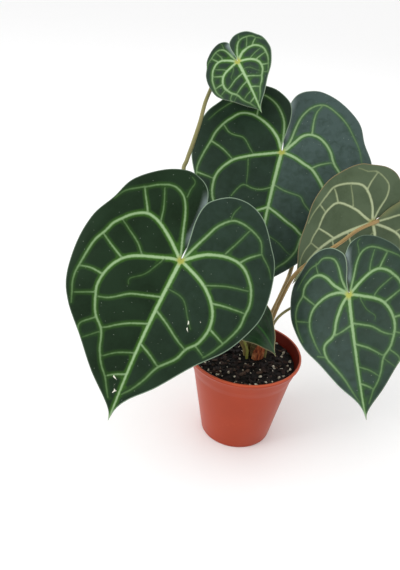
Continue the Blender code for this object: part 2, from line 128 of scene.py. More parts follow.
def lineDistance(points, line):  # from each point to a line: how far, and at which share of its length
    start, step = line[:-1], np.diff(line, axis=0)
    size = np.maximum((step ** 2).sum(1), 1e-9)
    t = np.clip(((points[:, None] - start) * step).sum(2) / size, 0, 1)
    away = np.linalg.norm(points[:, None] - start - t[..., None] * step, axis=2)
    pick = away.argmin(1)
    rows = np.arange(len(points))
    lengths = np.concatenate([[0], np.cumsum(np.sqrt(size))])
    along = lengths[pick] + t[rows, pick] * np.sqrt(size)[pick]
    return away[rows, pick], along / lengths[-1]


def fade(value):  # 0 below 0, 1 above 1, and a soft step between them
    value = np.clip(value, 0, 1)
    return value * value * (3 - 2 * value)


def ringFaces(rings):  # the skin between rings of point numbers; a ring of one point closes an end
    faces = []
    for low, high in zip(rings, rings[1:]):
        for step in range(max(len(low), len(high))):
            corners = [low[step % len(low)], low[(step + 1) % len(low)],
                       high[(step + 1) % len(high)], high[step % len(high)]]
            faces.append(tuple(dict.fromkeys(corners)))
    return faces


def lathe(profile, segments):  # a profile turned about Z, from the axis up the outside and back to the axis
    points, rings = [], []
    for radius, height in profile:
        turns = [0] if radius == 0 else np.arange(segments) * 2 * math.pi / segments
        rings.append(range(len(points), len(points) + len(turns)))
        points += [(radius * math.cos(turn), radius * math.sin(turn), height) for turn in turns]
    return points, ringFaces(rings)


def roundCorners(points, radius):  # cuts each corner back and puts a small curve there
    points = [np.array(p, float) for p in points]
    rounded = [points[0]]
    for before, corner, after in zip(points, points[1:], points[2:]):
        back = (before - corner) * min(radius / np.linalg.norm(before - corner), 0.45)
        on = (after - corner) * min(radius / np.linalg.norm(after - corner), 0.45)
        rounded += [corner + back * (1 - t) ** 2 + on * t ** 2 for t in (0, 0.25, 0.5, 0.75, 1)]
    return [tuple(p) for p in rounded + [points[-1]]]


def joinMesh(points, faces, morePoints, moreFaces):  # adds one mesh to the end of another
    faces += [tuple(len(points) + corner for corner in face) for face in moreFaces]
    points += list(morePoints)


# Pot

nurseryPot = dict(
    height=87.4, rimRadius=52.5, baseRadius=33, floor=1.6, flareBottom=69, underFlareRadius=45.9,
    # radius and height past underFlareRadius and flareBottom, outside and then inside
    outerFlare=((-1, -5.4), (0, -0.4), (1, 2.3), (2.1, 5.2), (3.2, 9)), innerFlare=((0.9, 5.6), (-1.3, 0.6)),
    # radius and height past rimRadius and height: up the lip, over it and down its inside
    lip=((-2.4, -6.2), (-1.4, -4), (-0.3, -2.8), (-0.1, -1.9), (-0.3, -0.05), (-2.2, -0.05), (-3, -3.2),
         (-4.3, -7.9)),
    corner=0.9, segments=160, sharp=38, holes=6, holeRing=21, holeRadius=3.5, holeSides=40,
    # the inner colour is painted shade: the inside wall is darker because it lies in the pot's own shadow
    # the lip colour is a painted highlight: a lighter band on the lip's top, where it catches the light
    wall="#a63b18", shade="#973212", lipHighlight="#b9502f", dust="#bb6544", inner="#641a0e",
    highlightFrom=1.6, highlightFull=0.5)  # the lip's painted highlight, a lighter band where its top catches the light, starts and is full this far below the top


def makePotMaterial():
    # nursery pot: polypropylene, injection moulded, which gives a soft even gloss and faint rings
    pot = nurseryPot
    material, tree, shader = newMaterial("mouldedTerracottaPolypropylene", IOR=1.49, Specular_IOR_Level=0.28)
    place = addNode(tree, "TexCoord")["Object"]
    level = addNode(tree, "SeparateXYZ", [place])["Z"]
    cloud = addNode(tree, "TexNoise", {"Vector": place, "Scale": 1 / (22 * mm), "Detail": 4})["Fac"]
    smudge = addNode(tree, "TexNoise", {"Vector": place, "Scale": 1 / (9 * mm), "Detail": 6,
                                        "Roughness": 0.7})["Fac"]
    # the mould's own grain is about 0.1 mm, drawn at 0.7 mm so that it shows
    grain = addNode(tree, "TexNoise", {"Vector": place, "Scale": 1 / (0.7 * mm), "Detail": 3})["Fac"]
    ring = addNode(tree, "Math", [level, 2 * math.pi / (2.4 * mm)], operation="MULTIPLY")[0]
    ring = addNode(tree, "Math", [ring], operation="SINE")[0]
    # painted highlight: the lip's top band is mixed towards the lighter lip colour
    lipFrom, lipFull = (pot["height"] - pot["highlightFrom"]) * mm, (pot["height"] - pot["highlightFull"]) * mm
    lipHighlightShare = addNode(tree, "MapRange", [level, lipFrom, lipFull])[0]
    smudge = addNode(tree, "MapRange", [smudge, 0.6, 0.8, 0, 0.35])[0]
    # painted shade: points on the inside wall take the darker inner colour
    inside = addNode(tree, "Attribute", attribute_name="insideShadeMask")["Fac"]
    color = addNode(tree, "MixRGB", [cloud, pot["shade"], pot["wall"]])[0]
    for share, tint in ((lipHighlightShare, "lipHighlight"), (smudge, "dust"), (inside, "inner")):
        color = addNode(tree, "MixRGB", [share, color, pot[tint]])[0]
    rough = addNode(tree, "MapRange", [smudge, 0, 0.35, 0.38, 0.6])[0]
    relief = addNode(tree, "Math", [ring, 0.12, grain], operation="MULTIPLY_ADD")[0]
    bump = addNode(tree, "Bump", {"Height": relief, "Strength": 0.25, "Distance": 0.08 * mm})[0]
    setInputs(tree, shader, {"Base Color": color, "Roughness": rough, "Normal": bump})
    return material


def makePot():
    shape = nurseryPot
    rim, top, base, floor = (shape[key] for key in ("rimRadius", "height", "baseRadius", "floor"))
    under, level, segments = (shape[key] for key in ("underFlareRadius", "flareBottom", "segments"))
    outside = [(base - 4, 0), (base - 0.1, 0)]
    outside += [(under + out, level + up) for out, up in shape["outerFlare"]]
    outside += [(rim + out, top + up) for out, up in shape["lip"]]
    outside += [(under + out, level + up) for out, up in shape["innerFlare"]]
    outside += [(base - 1.4, floor), (base - 8, floor)]
    profile = [(0, 0)] + roundCorners(outside, shape["corner"]) + [(0, floor)]
    lipTop = max(range(len(profile)), key=lambda at: profile[at][1] - 0.001 * profile[at][0])
    points, faces = lathe(profile, segments)
    # marks the inside wall, which gets the painted shade
    insideShadeMask = [1 if at >= 1 + (lipTop + 2) * segments else 0 for at in range(len(points))]
    pot = buildPiece("nursery_pot", points, faces, [makePotMaterial()], "pot",
                     traits={"insideShadeMask": insideShadeMask}, sharp=shape["sharp"])
    drills = []
    for hole in range(shape["holes"]):
        turn = 2 * math.pi * (hole + 0.5) / shape["holes"]
        radius = shape["holeRadius"]
        bore, boreFaces = lathe([(0, -2), (radius, -2), (radius, 5), (0, 5)], shape["holeSides"])
        shift = np.array((math.cos(turn), math.sin(turn), 0)) * shape["holeRing"]
        mesh = bpy.data.meshes.new("drill")
        mesh.from_pydata(((np.array(bore) + shift) * mm).tolist(), [], boreFaces)
        drills.append(bpy.data.objects.new("drill", mesh))
        bpy.context.scene.collection.objects.link(drills[-1])
        cut = pot.modifiers.new("hole", "BOOLEAN")
        cut.operation, cut.object, cut.solver = "DIFFERENCE", drills[-1], "EXACT"
    shown = pot.evaluated_get(bpy.context.evaluated_depsgraph_get())
    pot.data = bpy.data.meshes.new_from_object(shown)
    pot.modifiers.clear()
    for drill in drills:
        bpy.data.objects.remove(drill)
    print("pot made,", len(pot.data.polygons), "faces")


# Potting mix

soilBed = dict(
    top=77.9, rings=90, segments=220, crumb=0.75, crumbSize=1.5, dark="#060403", brown="#140d09",
    side=((0, 1.9), (30.4, 1.9), (31.9, 3.2), (44.1, 69.2), (46.2, 74.2), (46.5, 75.2)),  # radius, height
    radius=46.9, calmEdge=1.5, wideHummock=0.9, smallHummock=0.7, droop=1.2, droopRadius=0.048,
    grainReach=45.5, wallReach=47.2)  # grains start within the one and end within the other
barkChips = dict(count=330, halfLength=(1.4, 4.3), halfWidth=(0.8, 2.0), halfThickness=(0.4, 1.0),
                 sunk=(-0.3, 0.7), tilt=0.35, roll=0.25, square=0.55, rough=0.5,
                 dark="#0f0907", red="#2c1812", tan="#574334")
perliteGrains = dict(count=125, half=(0.4, 1.5), sunk=(0, 0.8), square=0.85, rough=0.8,
                     light="#f6efdb", shade="#a89d86")
rootFibres = dict(count=46, length=(7, 20), radius=0.16, knots=6, reach=40, edge=46,
                  dark="#0f0907", light="#4f3b28")


def soilHeight(x, y):  # low hummocks, a little lower at the wall
    x, y = x * mm, y * mm
    wide = math.sin(x * 130 + 0.6) * math.cos(y * 115 - 0.4)
    small = math.sin(x * 410 + y * 260) * math.cos(y * 370 - x * 150 + 1.1)
    edge = min(1, math.hypot(x, y) / soilBed["droopRadius"])
    rise = soilBed["wideHummock"] * wide + soilBed["smallHummock"] * small
    return soilBed["top"] + rise * (1 - 0.5 * edge ** 4) - soilBed["droop"] * edge ** 6


def makeSoilMaterial():
    # peat and fine bark: sieved and damp, which gives a near-black crumb that hardly shines
    material, tree, shader = newMaterial("dampPeatMix", Roughness=0.85, Specular_IOR_Level=0.3)
    place = addNode(tree, "TexCoord")["Object"]
    crumb = addNode(tree, "TexNoise", {"Vector": place, "Scale": 1 / (1.6 * mm), "Detail": 6,
                                       "Roughness": 0.75})["Fac"]
    share = addNode(tree, "MapRange", [crumb, 0.42, 0.72])[0]
    color = addNode(tree, "MixRGB", [share, soilBed["dark"], soilBed["brown"]])[0]
    bump = addNode(tree, "Bump", {"Height": crumb, "Strength": 0.9, "Distance": 0.6 * mm})[0]
    setInputs(tree, shader, {"Base Color": color, "Normal": bump})
    return material


def makeChipMaterial():
    # pine bark: chipped, with split layers, which gives rusty and tan faces with dark edges
    material, tree, shader = newMaterial("chippedPineBark", Roughness=0.75, Specular_IOR_Level=0.35)
    place = addNode(tree, "TexCoord")["Object"]
    tone = addNode(tree, "Attribute", attribute_name="tone")["Fac"]
    layer = addNode(tree, "TexNoise", {"Vector": place, "Scale": 1 / (1.1 * mm), "Detail": 5})["Fac"]
    mixed = addNode(tree, "Math", [layer, 0.5, tone], operation="MULTIPLY_ADD")[0]
    color = barkChips["dark"]
    for tint, low, high in (("red", 0.35, 0.95), ("tan", 0.95, 1.35)):
        share = addNode(tree, "MapRange", [mixed, low, high])[0]
        color = addNode(tree, "MixRGB", [share, color, barkChips[tint]])[0]
    bump = addNode(tree, "Bump", {"Height": layer, "Strength": 0.7, "Distance": 0.3 * mm})[0]
    setInputs(tree, shader, {"Base Color": color, "Normal": bump})
    return material


def makePerliteMaterial():
    # perlite: volcanic glass puffed by heat, which gives chalky cream grains with tiny pits
    material, tree, shader = newMaterial("puffedPerlite", Roughness=0.9)
    place = addNode(tree, "TexCoord")["Object"]
    # real pits are under 0.1 mm, drawn at 0.45 mm so that they show
    pits = addNode(tree, "TexVoronoi", {"Vector": place, "Scale": 1 / (0.45 * mm)})["Distance"]
    stain = addNode(tree, "TexNoise", {"Vector": place, "Scale": 1 / (3 * mm), "Detail": 3})["Fac"]
    share = addNode(tree, "MapRange", [stain, 0.4, 0.65])[0]
    color = addNode(tree, "MixRGB", [share, perliteGrains["shade"], perliteGrains["light"]])[0]
    bump = addNode(tree, "Bump", {"Height": pits, "Strength": 0.6, "Distance": 0.15 * mm})[0]
    setInputs(tree, shader, {"Base Color": color, "Normal": bump})
    return material


def makeFibreMaterial():
    # coir and root hair: dried, which gives dull wiry threads
    material, tree, shader = newMaterial("dryRootFibre", Roughness=0.8)
    place = addNode(tree, "TexCoord")["Object"]
    streak = addNode(tree, "TexNoise", {"Vector": place, "Scale": 1 / (2 * mm), "Detail": 2})["Fac"]
    color = addNode(tree, "MixRGB", [streak, rootFibres["dark"], rootFibres["light"]])[0]
    setInputs(tree, shader, {"Base Color": color})
    return material


def lump(centre, half, turn, shape, dice):  # an uneven grain: a blocky or round form with dents
    around, rows = 10, 6
    seed = Vector((dice.uniform(0, 90), dice.uniform(0, 90), dice.uniform(0, 90)))
    points = []
    for row in range(rows + 1):
        tilt = math.pi * (row / rows - 0.5)
        for step in range(around if 0 < row < rows else 1):
            angle = 2 * math.pi * step / around
            bent = [math.copysign(abs(v) ** shape["square"], v) for v in (
                math.cos(tilt) * math.cos(angle), math.cos(tilt) * math.sin(angle), math.sin(tilt))]
            swell = 1 + shape["rough"] * noise.noise(Vector(bent) * 1.7 + seed)
            local = Vector([b * h * swell for b, h in zip(bent, half)])
            points.append(Vector(centre) + turn @ local)
    rings = [[0]] + [[1 + (row - 1) * around + step for step in range(around)] for row in range(1, rows)]
    return points, ringFaces(rings + [[len(points) - 1]])


def scatter(shape, dice, makeOne, feet):  # many grains in one mesh, clear of the stalks and the wall
    points, faces, tones = [], [], []
    left = shape["count"]
    while left:
        turn, far = dice.uniform(0, 2 * math.pi), soilBed["grainReach"] * math.sqrt(dice.random())
        x, y = far * math.cos(turn), far * math.sin(turn)
        size, sunk, spin, tone = makeOne()
        if any(math.hypot(x - a, y - b) < r + max(size) * 0.8 for a, b, r in feet):
            continue
        if far + max(size) > soilBed["wallReach"]:
            continue
        made, skin = lump((x, y, soilHeight(x, y) + sunk), size, spin, shape, dice)
        joinMesh(points, faces, made, skin)
        tones += [tone] * len(made)
        left -= 1
    return points, faces, tones


def makeSoil(feet):
    side, rings, radius, segments = (soilBed[key] for key in ("side", "rings", "radius", "segments"))
    profile = list(side) + [(radius * (1 - ring / rings), soilBed["top"]) for ring in range(rings + 1)]
    points, faces = lathe(profile, segments)
    for at in range(1 + (len(side) - 1) * segments, len(points)):
        x, y, _ = points[at]
        rise = noise.fractal(Vector((x, y, 3)) / soilBed["crumbSize"], 0.9, 2.1, 4) * soilBed["crumb"]
        calm = min(1, max(0, (radius - math.hypot(x, y)) / soilBed["calmEdge"]))
        points[at] = (x, y, soilHeight(x, y) + rise * calm)
    buildPiece("soil_bed", points, faces, [makeSoilMaterial()], "soil")

    dice = random.Random(11)

    def oneChip():
        size = [dice.uniform(*barkChips[key]) for key in ("halfLength", "halfWidth", "halfThickness")]
        spin = Matrix.Rotation(dice.uniform(0, 6.28), 3, "Z")
        spin = spin @ Matrix.Rotation(dice.gauss(0, barkChips["tilt"]), 3, "X")
        spin = spin @ Matrix.Rotation(dice.gauss(0, barkChips["roll"]), 3, "Y")
        return size, dice.uniform(*barkChips["sunk"]), spin, dice.random() ** 1.5

    def onePerlite():
        half = dice.uniform(*perliteGrains["half"])
        size = [half, half * dice.uniform(0.7, 1), half * dice.uniform(0.65, 0.95)]
        return size, dice.uniform(*perliteGrains["sunk"]), Matrix.Rotation(dice.uniform(0, 6.28), 3, "Z"), 0

    points, faces, tones = scatter(barkChips, dice, oneChip, feet)
    buildPiece("bark_chips", points, faces, [makeChipMaterial()], "soil",
               traits={"tone": tones}, sharp=50)
    points, faces, _ = scatter(perliteGrains, dice, onePerlite, feet)
    buildPiece("perlite_grains", points, faces, [makePerliteMaterial()], "soil")

    points, faces = [], []
    for _ in range(rootFibres["count"]):
        far, turn = rootFibres["reach"] * math.sqrt(dice.random()), dice.uniform(0, 6.28)
        x, y, heading = far * math.cos(turn), far * math.sin(turn), dice.uniform(0, 6.28)
        line = []
        for knot in range(rootFibres["knots"]):
            if math.hypot(x, y) < rootFibres["edge"]:
                line.append((x, y, soilHeight(x, y) + 0.5 + 0.6 * math.sin(knot * 1.3 + turn)))
            heading += dice.uniform(-0.7, 0.7)
            reach = dice.uniform(*rootFibres["length"]) / (rootFibres["knots"] - 1)
            x, y = x + reach * math.cos(heading), y + reach * math.sin(heading)
        if len(line) > 2:
            made, skin, _ = tube(smoothLine(line, 1.2), lambda share: rootFibres["radius"], sides=6)
            joinMesh(points, faces, made, skin)
    buildPiece("root_fibres", points, faces, [makeFibreMaterial()], "soil")
    print("potting mix made")


# Stalks, stem and sheaths

leafStalk = dict(
    sides=20, step=2.2, foot=60, aboveSoil=2, jointSwell=0.18, footSwell=0.25,
    underBlade=(8, 1.3),  # its last two points are this far under the blade
    grown=dict(light="#ab8f5c", shade="#856b3e", ends="#6f5a36", olive="#75784c"),
    young=dict(light="#8c8f42", shade="#6c7434", ends="#75784c", olive="#8c8f42"))


def tube(path, radiusAt, sides):  # a round rod along a path, closed at both ends, and its skin's axes in mm
    points, skin = [], []
    across = np.array((1.0, 0, 0))
    last = len(path) - 1
    far = 0
    for at, centre in enumerate(path):
        along = path[min(at + 1, last)] - path[max(at - 1, 0)]
        along = along / np.linalg.norm(along)
        across = across - along * across.dot(along)
        across = across / np.linalg.norm(across)
        up = np.cross(along, across)
        radius = radiusAt(at / last)
        far += np.linalg.norm(path[at] - path[max(at - 1, 0)])
        for side in range(sides):
            turn = 2 * math.pi * side / sides
            points.append(centre + radius * (math.cos(turn) * across + math.sin(turn) * up))
            skin.append((math.cos(turn) * radius, math.sin(turn) * radius, far))
    rings = [range(at * sides, (at + 1) * sides) for at in range(last + 1)]
    return points, ringFaces(rings) + [tuple(reversed(rings[0])), tuple(rings[-1])], skin


def makeStalkMaterial(name, look):
    # leaf stalk: living skin over long fibres, which gives a satin rod with fine streaks along it
    material, tree, shader = newMaterial(name, Roughness=0.42, IOR=1.45, Specular_IOR_Level=0.4)
    skin = addNode(tree, "Attribute", attribute_name="skin")["Vector"]  # in mm: a scale of 0.9 is 1.1 mm
    long = addNode(tree, "Mapping", {"Vector": skin, "Scale": (1, 1, 0.04)})[0]
    streak = addNode(tree, "TexNoise", {"Vector": long, "Scale": 0.9, "Detail": 4})["Fac"]
    fleck = addNode(tree, "TexNoise", {"Vector": skin, "Scale": 0.8, "Detail": 3})["Fac"]
    share = addNode(tree, "MapRange", [streak, 0.4, 0.62])[0]
    greener, ends = (addNode(tree, "Attribute", attribute_name=trait)["Fac"] for trait in ("olive", "ends"))
    spots = addNode(tree, "MapRange", [fleck, 0.6, 0.75, 0, 0.6])[0]
    color = addNode(tree, "MixRGB", [share, look["shade"], look["light"]])[0]
    for share, tint in ((greener, "olive"), (spots, "ends"), (ends, "ends")):
        color = addNode(tree, "MixRGB", [share, color, look[tint]])[0]
    bump = addNode(tree, "Bump", {"Height": streak, "Strength": 0.4, "Distance": 0.12 * mm})[0]
    setInputs(tree, shader, {"Base Color": color, "Normal": bump})
    return material


def makeStalk(number, leaf, material):
    up = np.array(leaf["up"]) / np.linalg.norm(leaf["up"])
    joint = np.array(leaf["joint"], float)
    footX, footY = leaf["path"][0]
    bends = [(footX, footY, leafStalk["foot"]), (footX, footY, soilBed["top"] + leafStalk["aboveSoil"])]
    path = smoothLine([*bends, *leaf["path"][1:], *(joint - up * gap for gap in leafStalk["underBlade"])],
                      leafStalk["step"])

    def radiusAt(share):
        swell = leafStalk["jointSwell"] * fade((share - 0.9) / 0.05)
        swell += leaf.get("foot", leafStalk["footSwell"]) * fade((0.22 - share) / 0.12)
        return leaf["radius"] * (1.12 - 0.2 * share) * (0.97 + swell)

    points, faces, skin = tube(path, radiusAt, leafStalk["sides"])
    share = np.repeat(np.linspace(0, 1, len(path)), leafStalk["sides"])
    ends = 0.3 * fade((share - 0.93) / 0.05) + 0.5 * fade((0.16 - share) / 0.12)
    buildPiece("leaf_stalk_" + number, points, faces, [material], "stalk_" + number,
               traits={"skin": skin, "ends": ends, "olive": np.full(len(points), leaf["olive"])}, sharp=60)


crownStem = dict(
    place=(10.7, 8.4), radius=5.6, foot=60, top=94, ringGap=4, segments=64,
    # share of the radius, and height past the ring or past the top
    ring=((0.96, -0.5), (1, 0), (0.97, 0.5), (0.9, 1.7), (0.89, 2.8)),
    dome=((0.86, -2), (0.75, -0.9), (0.5, -0.2), (0, 0.4)),
    green="#5c5a2c", brown="#5a3f24", scar="#9a8458")


def makeStem():
    # stem: ringed where old leaves were, which gives a rough green-brown skin with pale scars
    radius, top, gap = crownStem["radius"], crownStem["top"], crownStem["ringGap"]
    profile = [(0, crownStem["foot"]), (radius * 0.9, crownStem["foot"])]
    level = soilBed["top"] - gap
    while level < top - 5:
        profile += [(radius * share, level + up) for share, up in crownStem["ring"]]
        level += gap
    profile += [(radius * share, top + up) for share, up in crownStem["dome"]]
    points, faces = lathe(profile, crownStem["segments"])
    points = [(x + crownStem["place"][0], y + crownStem["place"][1], z) for x, y, z in points]
    material, tree, shader = newMaterial("ringedStemSkin", Roughness=0.65)
    place = addNode(tree, "TexCoord")["Object"]
    bark = addNode(tree, "TexNoise", {"Vector": place, "Scale": 1 / (2.5 * mm), "Detail": 5})["Fac"]
    height = addNode(tree, "SeparateXYZ", [place])["Z"]
    ring = addNode(tree, "Math", [height, 2 * math.pi / (gap * mm)], operation="MULTIPLY")[0]
    ring = addNode(tree, "Math", [ring], operation="SINE")[0]
    scar = addNode(tree, "MapRange", [ring, 0.7, 1, 0, 0.6])[0]
    color = addNode(tree, "MixRGB", [bark, crownStem["brown"], crownStem["green"]])[0]
    color = addNode(tree, "MixRGB", [scar, color, crownStem["scar"]])[0]
    bump = addNode(tree, "Bump", {"Height": bark, "Strength": 0.6, "Distance": 0.3 * mm})[0]
    setInputs(tree, shader, {"Base Color": color, "Normal": bump})
    buildPiece("crown_stem", points, faces, [material], "stem", sharp=50)


paperySheath = dict(
    around=36, rows=48, below=6, gap=0.2, thickness=0.4, pleat=0.28, pleats=17, fray=0.1, narrowing=0.86,
    sag=2.5,
    # middle and spread are angles round the stem, in radians; lean and inner are in mm
    wraps={"1": dict(middle=-1.25, spread=1.6, high=103, lean=4.0, inner=8.0),
           "2": dict(middle=1.82, spread=0.46, high=97, lean=3.0, inner=11.9)},
    rust="#bd6a40", dark="#6a2f19", straw="#d09865")


def makeSheathMaterial():
    # old leaf sheath: dried to paper over stiff fibres, which gives rusty flaps with dark ribs
    material, tree, shader = newMaterial("driedLeafSheath", Roughness=0.7, IOR=1.4)
    skin = addNode(tree, "Attribute", attribute_name="skin")["Vector"]  # in mm
    long = addNode(tree, "Mapping", {"Vector": skin, "Scale": (1, 0.09, 1)})[0]
    rib = addNode(tree, "TexNoise", {"Vector": long, "Scale": 1.3, "Detail": 4})["Fac"]
    blotch = addNode(tree, "TexNoise", {"Vector": skin, "Scale": 0.16, "Detail": 4})["Fac"]
    share = addNode(tree, "MapRange", [rib, 0.42, 0.6])[0]
    color = addNode(tree, "MixRGB", [share, paperySheath["dark"], paperySheath["rust"]])[0]
    share = addNode(tree, "MapRange", [blotch, 0.52, 0.72, 0, 0.7])[0]
    color = addNode(tree, "MixRGB", [share, color, paperySheath["straw"]])[0]
    bump = addNode(tree, "Bump", {"Height": rib, "Strength": 0.7, "Distance": 0.3 * mm})[0]
    setInputs(tree, shader, {"Base Color": color, "Normal": bump})
    return material


def makeSheaths():
    shape = paperySheath
    around, rows, low = shape["around"], shape["rows"], soilBed["top"] - shape["below"]
    material = makeSheathMaterial()
    for number, wrap in shape["wraps"].items():
        middle = wrap["middle"]
        points, skin = [], []
        for layer in range(2):
            for row in range(rows + 1):
                rise = row / rows
                half = wrap["spread"] / 2 * (1 - shape["narrowing"] * rise ** 2.2)
                for step in range(around + 1):
                    across = 2 * step / around - 1
                    ragged = noise.noise(Vector((across * 3, rise * 9, middle)))
                    turn = middle + half * across * (1 + shape["fray"] * ragged * abs(across))
                    pleat = shape["pleat"] * math.sin(across * shape["pleats"] + rise * 2.5)
                    radius = wrap["inner"] + shape["gap"] + layer * shape["thickness"]
                    radius = radius + wrap["lean"] * rise ** 2 + pleat * (1 - 0.5 * rise)
                    tall = low + (wrap["high"] - low) * rise - shape["sag"] * rise * abs(across) ** 3
                    x, y = crownStem["place"]
                    points.append((x + radius * math.cos(turn), y + radius * math.sin(turn), tall))
                    skin.append((turn * 12, tall, 0))
        wide = around + 1
        count = wide * (rows + 1)
        faces = []
        for row in range(rows):
            for step in range(around):
                a = row * wide + step
                faces.append((a, a + wide, a + wide + 1, a + 1))
                faces.append((count + a, count + a + 1, count + a + wide + 1, count + a + wide))
        edge = list(range(wide)) + [row * wide + around for row in range(1, rows + 1)]
        edge += [rows * wide + step for step in reversed(range(around))]
        edge += [row * wide for row in reversed(range(1, rows))]
        faces += [(a, b, count + b, count + a) for a, b in zip(edge, edge[1:] + edge[:1])]
        buildPiece("papery_sheath_" + number, points, faces, [material], "sheath_" + number,
                   traits={"skin": skin}, sharp=70)
    print("stem and sheaths made")


# Leaves

# joint and tip are where the stalk meets the blade and where it ends, and up is the way its upper face looks.
# near is the side of its near half. width and lobe are shares, fold is a slope, waves is a count, phase is an
# angle, and bow, curl, wave and bend are in mm.
# veins, the painted sheen (a bluish-grey reflection painted into the skin, at the lobes and at the tip) and
# scars are for the far half and the near half; radius, foot and path are its stalk's.
leaves = {
    "1": dict(
        joint=(-64.4, -15, 181.8), tip=(-110.8, -94.4, 71.8), up=(0.104, -0.827, 0.553),
        near=1, width=1.00, lobe=1.03, bow=4.5, fold=0.07, curl=5, wave=2.2, waves=1.6, phase=(0.5, 2.6),
        bend=-2.6, veins=("far", "near"), paintedSheen=((0.0, 0.02), (0.3, 0.08)), olive=0.4,
        scars=((((0.068, 0.756), (0.044, 0.772), (0.040, 0.804)), ((0.040, 0.820), (0.024, 0.832),
        (0.028, 0.852)), ((0.036, 0.848), (0.016, 0.828))), (((0.192, 0.304), (0.200, 0.324)),
        ((0.200, 0.344), (0.212, 0.356)), ((0.224, 0.364), (0.228, 0.376)), ((0.248, 0.276),
        (0.256, 0.280)))),
        radius=2.1, path=((1.7, 8.4), (-2.5, 9, 90), (-16, 9, 108), (-38, 10, 136), (-58, 5, 160)),
    ),
    "2": dict(
        joint=(22.9, 143.6, 232.6), tip=(7, 63.7, 111.1), up=(-0.073, -0.829, 0.554),
        near=-1, width=1.08, lobe=0.97, bow=6.6, fold=0.05, curl=4, wave=2.4, waves=1.4, phase=(1.9, 0.4),
        bend=-3.0, veins=("far2", "near2"), paintedSheen=((1.3, 0.45), (0.15, 0.3)), olive=0.15, veinShare=0.9,
        radius=2, path=((12.7, 17.4), (16, 20.5, 98), (24, 30.2, 114.7), (33.3, 52.4, 125.9),
        (42, 80.8, 133.7), (48.5, 110, 153.6), (50.6, 135.8, 181.6), (44.9, 156, 209.6)),
    ),
    "3": dict(
        joint=(109.3, 74.4, 194.4), tip=(35.9, 17.6, 152.2), up=(-0.303, 0.789, -0.534),
        near=1, width=0.98, lobe=1.00, bow=6.4, fold=0.06, curl=3, wave=1.5, waves=1.3, phase=(0.2, 2),
        bend=9.7, veins=("far", "near3"), paintedSheen=((0.3, 0.3), (0.3, 0.3)), olive=0.0,
        radius=1.8, path=((18.2, 14.4), (20, 16, 98), (25, 20, 121), (31.3, 21.8, 143), (35.2, 16.3, 159.8),
        (43.3, 25.5, 165), (57.1, 33.1, 173.6), (76.3, 42.8, 184.9), (92.4, 52.9, 194.9)),
    ),
    "4": dict(
        joint=(78.6, -20.8, 167.1), tip=(95.5, -90.7, 93.3), up=(-0.652, -0.619, 0.437),
        near=-1, width=0.99, lobe=0.96, bow=6.0, fold=0.06, curl=3.5, wave=1.6, waves=1.3, phase=(2.4, 0.9),
        bend=2.0, veins=("far", "near4"), paintedSheen=((0.35, 0.4), (0.5, 0.6)), olive=0.75, veinShare=0.72,
        radius=1.25, path=((19.7, 7.4), (21, 8.6, 98), (25.5, 10.9, 117), (37.7, 14.2, 129.1),
        (54.8, 12.8, 141.2), (67.9, 3, 152.3), (75.6, -7.7, 159.8)),
    ),
    "5": dict(
        joint=(-8.6, 0.7, 127.5), tip=(25.6, -24.2, 100.5), up=(0.438, -0.312, 0.843),
        near=1, width=1.05, lobe=1.00, bow=5.8, fold=0.1, curl=1.5, wave=0.8, waves=1, phase=(0.8, 2.2),
        bend=1.0, veins=("far", "near"), paintedSheen=((0, 0), (0, 0)), olive=1.0, young=True,
        radius=1.25, foot=0, path=((2.7, 0.9), (2.2, 2.6, 87.5), (-0.9, 4.9, 94.5), (-5.3, 8.4, 104.3)),
    ),
    "6": dict(
        joint=(-29.2, 175, 310), tip=(-2.2, 133.7, 272.5), up=(-0.347, -0.744, 0.571),
        near=1, width=0.98, lobe=1.00, bow=3.0, fold=0.09, curl=2, wave=1.2, waves=1.2, phase=(0.3, 1.7),
        bend=1.0, veins=("far", "near"), paintedSheen=((0.2, 0.3), (0.3, 0.4)), olive=0.8,
        radius=2.1, path=((4.2, 15.9), (-5, 26, 106), (-34, 60, 158), (-58, 90, 196), (-72, 108.7, 215.1),
        (-70.2, 115.4, 225.2), (-65.9, 126.6, 239.1), (-61.1, 142.7, 255.9), (-56.6, 167.6, 273.9),
        (-45.8, 193.2, 293.2)),
    ),
}

# Half outlines of the heart, from the stalk round the lobe to the tip. The blade's length is 1.
halfNear = (
    (0, 0), (0.003, -0.03), (0.001, -0.08), (-0.008, -0.15), (-0.018, -0.24), (-0.010, -0.33),
    (0.025, -0.392), (0.122, -0.458), (0.243, -0.468), (0.355, -0.414), (0.459, -0.292), (0.519, -0.208),
    (0.555, -0.082), (0.566, 0.082), (0.536, 0.207), (0.456, 0.371), (0.318, 0.533), (0.178, 0.723),
    (0.064, 0.844), (0.016, 0.923), (0, 1),
)
halfFar = (
    (0, 0), (0.003, -0.03), (-0.002, -0.09), (-0.013, -0.2), (-0.011, -0.3), (0.0, -0.385),
    (0.032, -0.45), (0.093, -0.487), (0.186, -0.495), (0.317, -0.436), (0.45, -0.313), (0.506, -0.168),
    (0.569, -0.026), (0.587, 0.153), (0.556, 0.348), (0.479, 0.483), (0.335, 0.631), (0.198, 0.779),
    (0.070, 0.892), (0.018, 0.95), (0, 1),
)

# Kinds of vein: full width at the start and the end, and how pale it is there
veinKinds = dict(main=(2.3, 0.9, 1.0, 0.16), firm=(1.7, 1.4, 0.95, 0.75), base=(1.6, 0.75, 0.75, 0.08),
                 side=(1.25, 0.85, 0.6, 0.35), thin=(0.85, 0.6, 0.4, 0.25), fine=(0.6, 0.45, 0.25, 0.1))
midribWidths = (2.9, 1.0)  # at the joint and at the tip
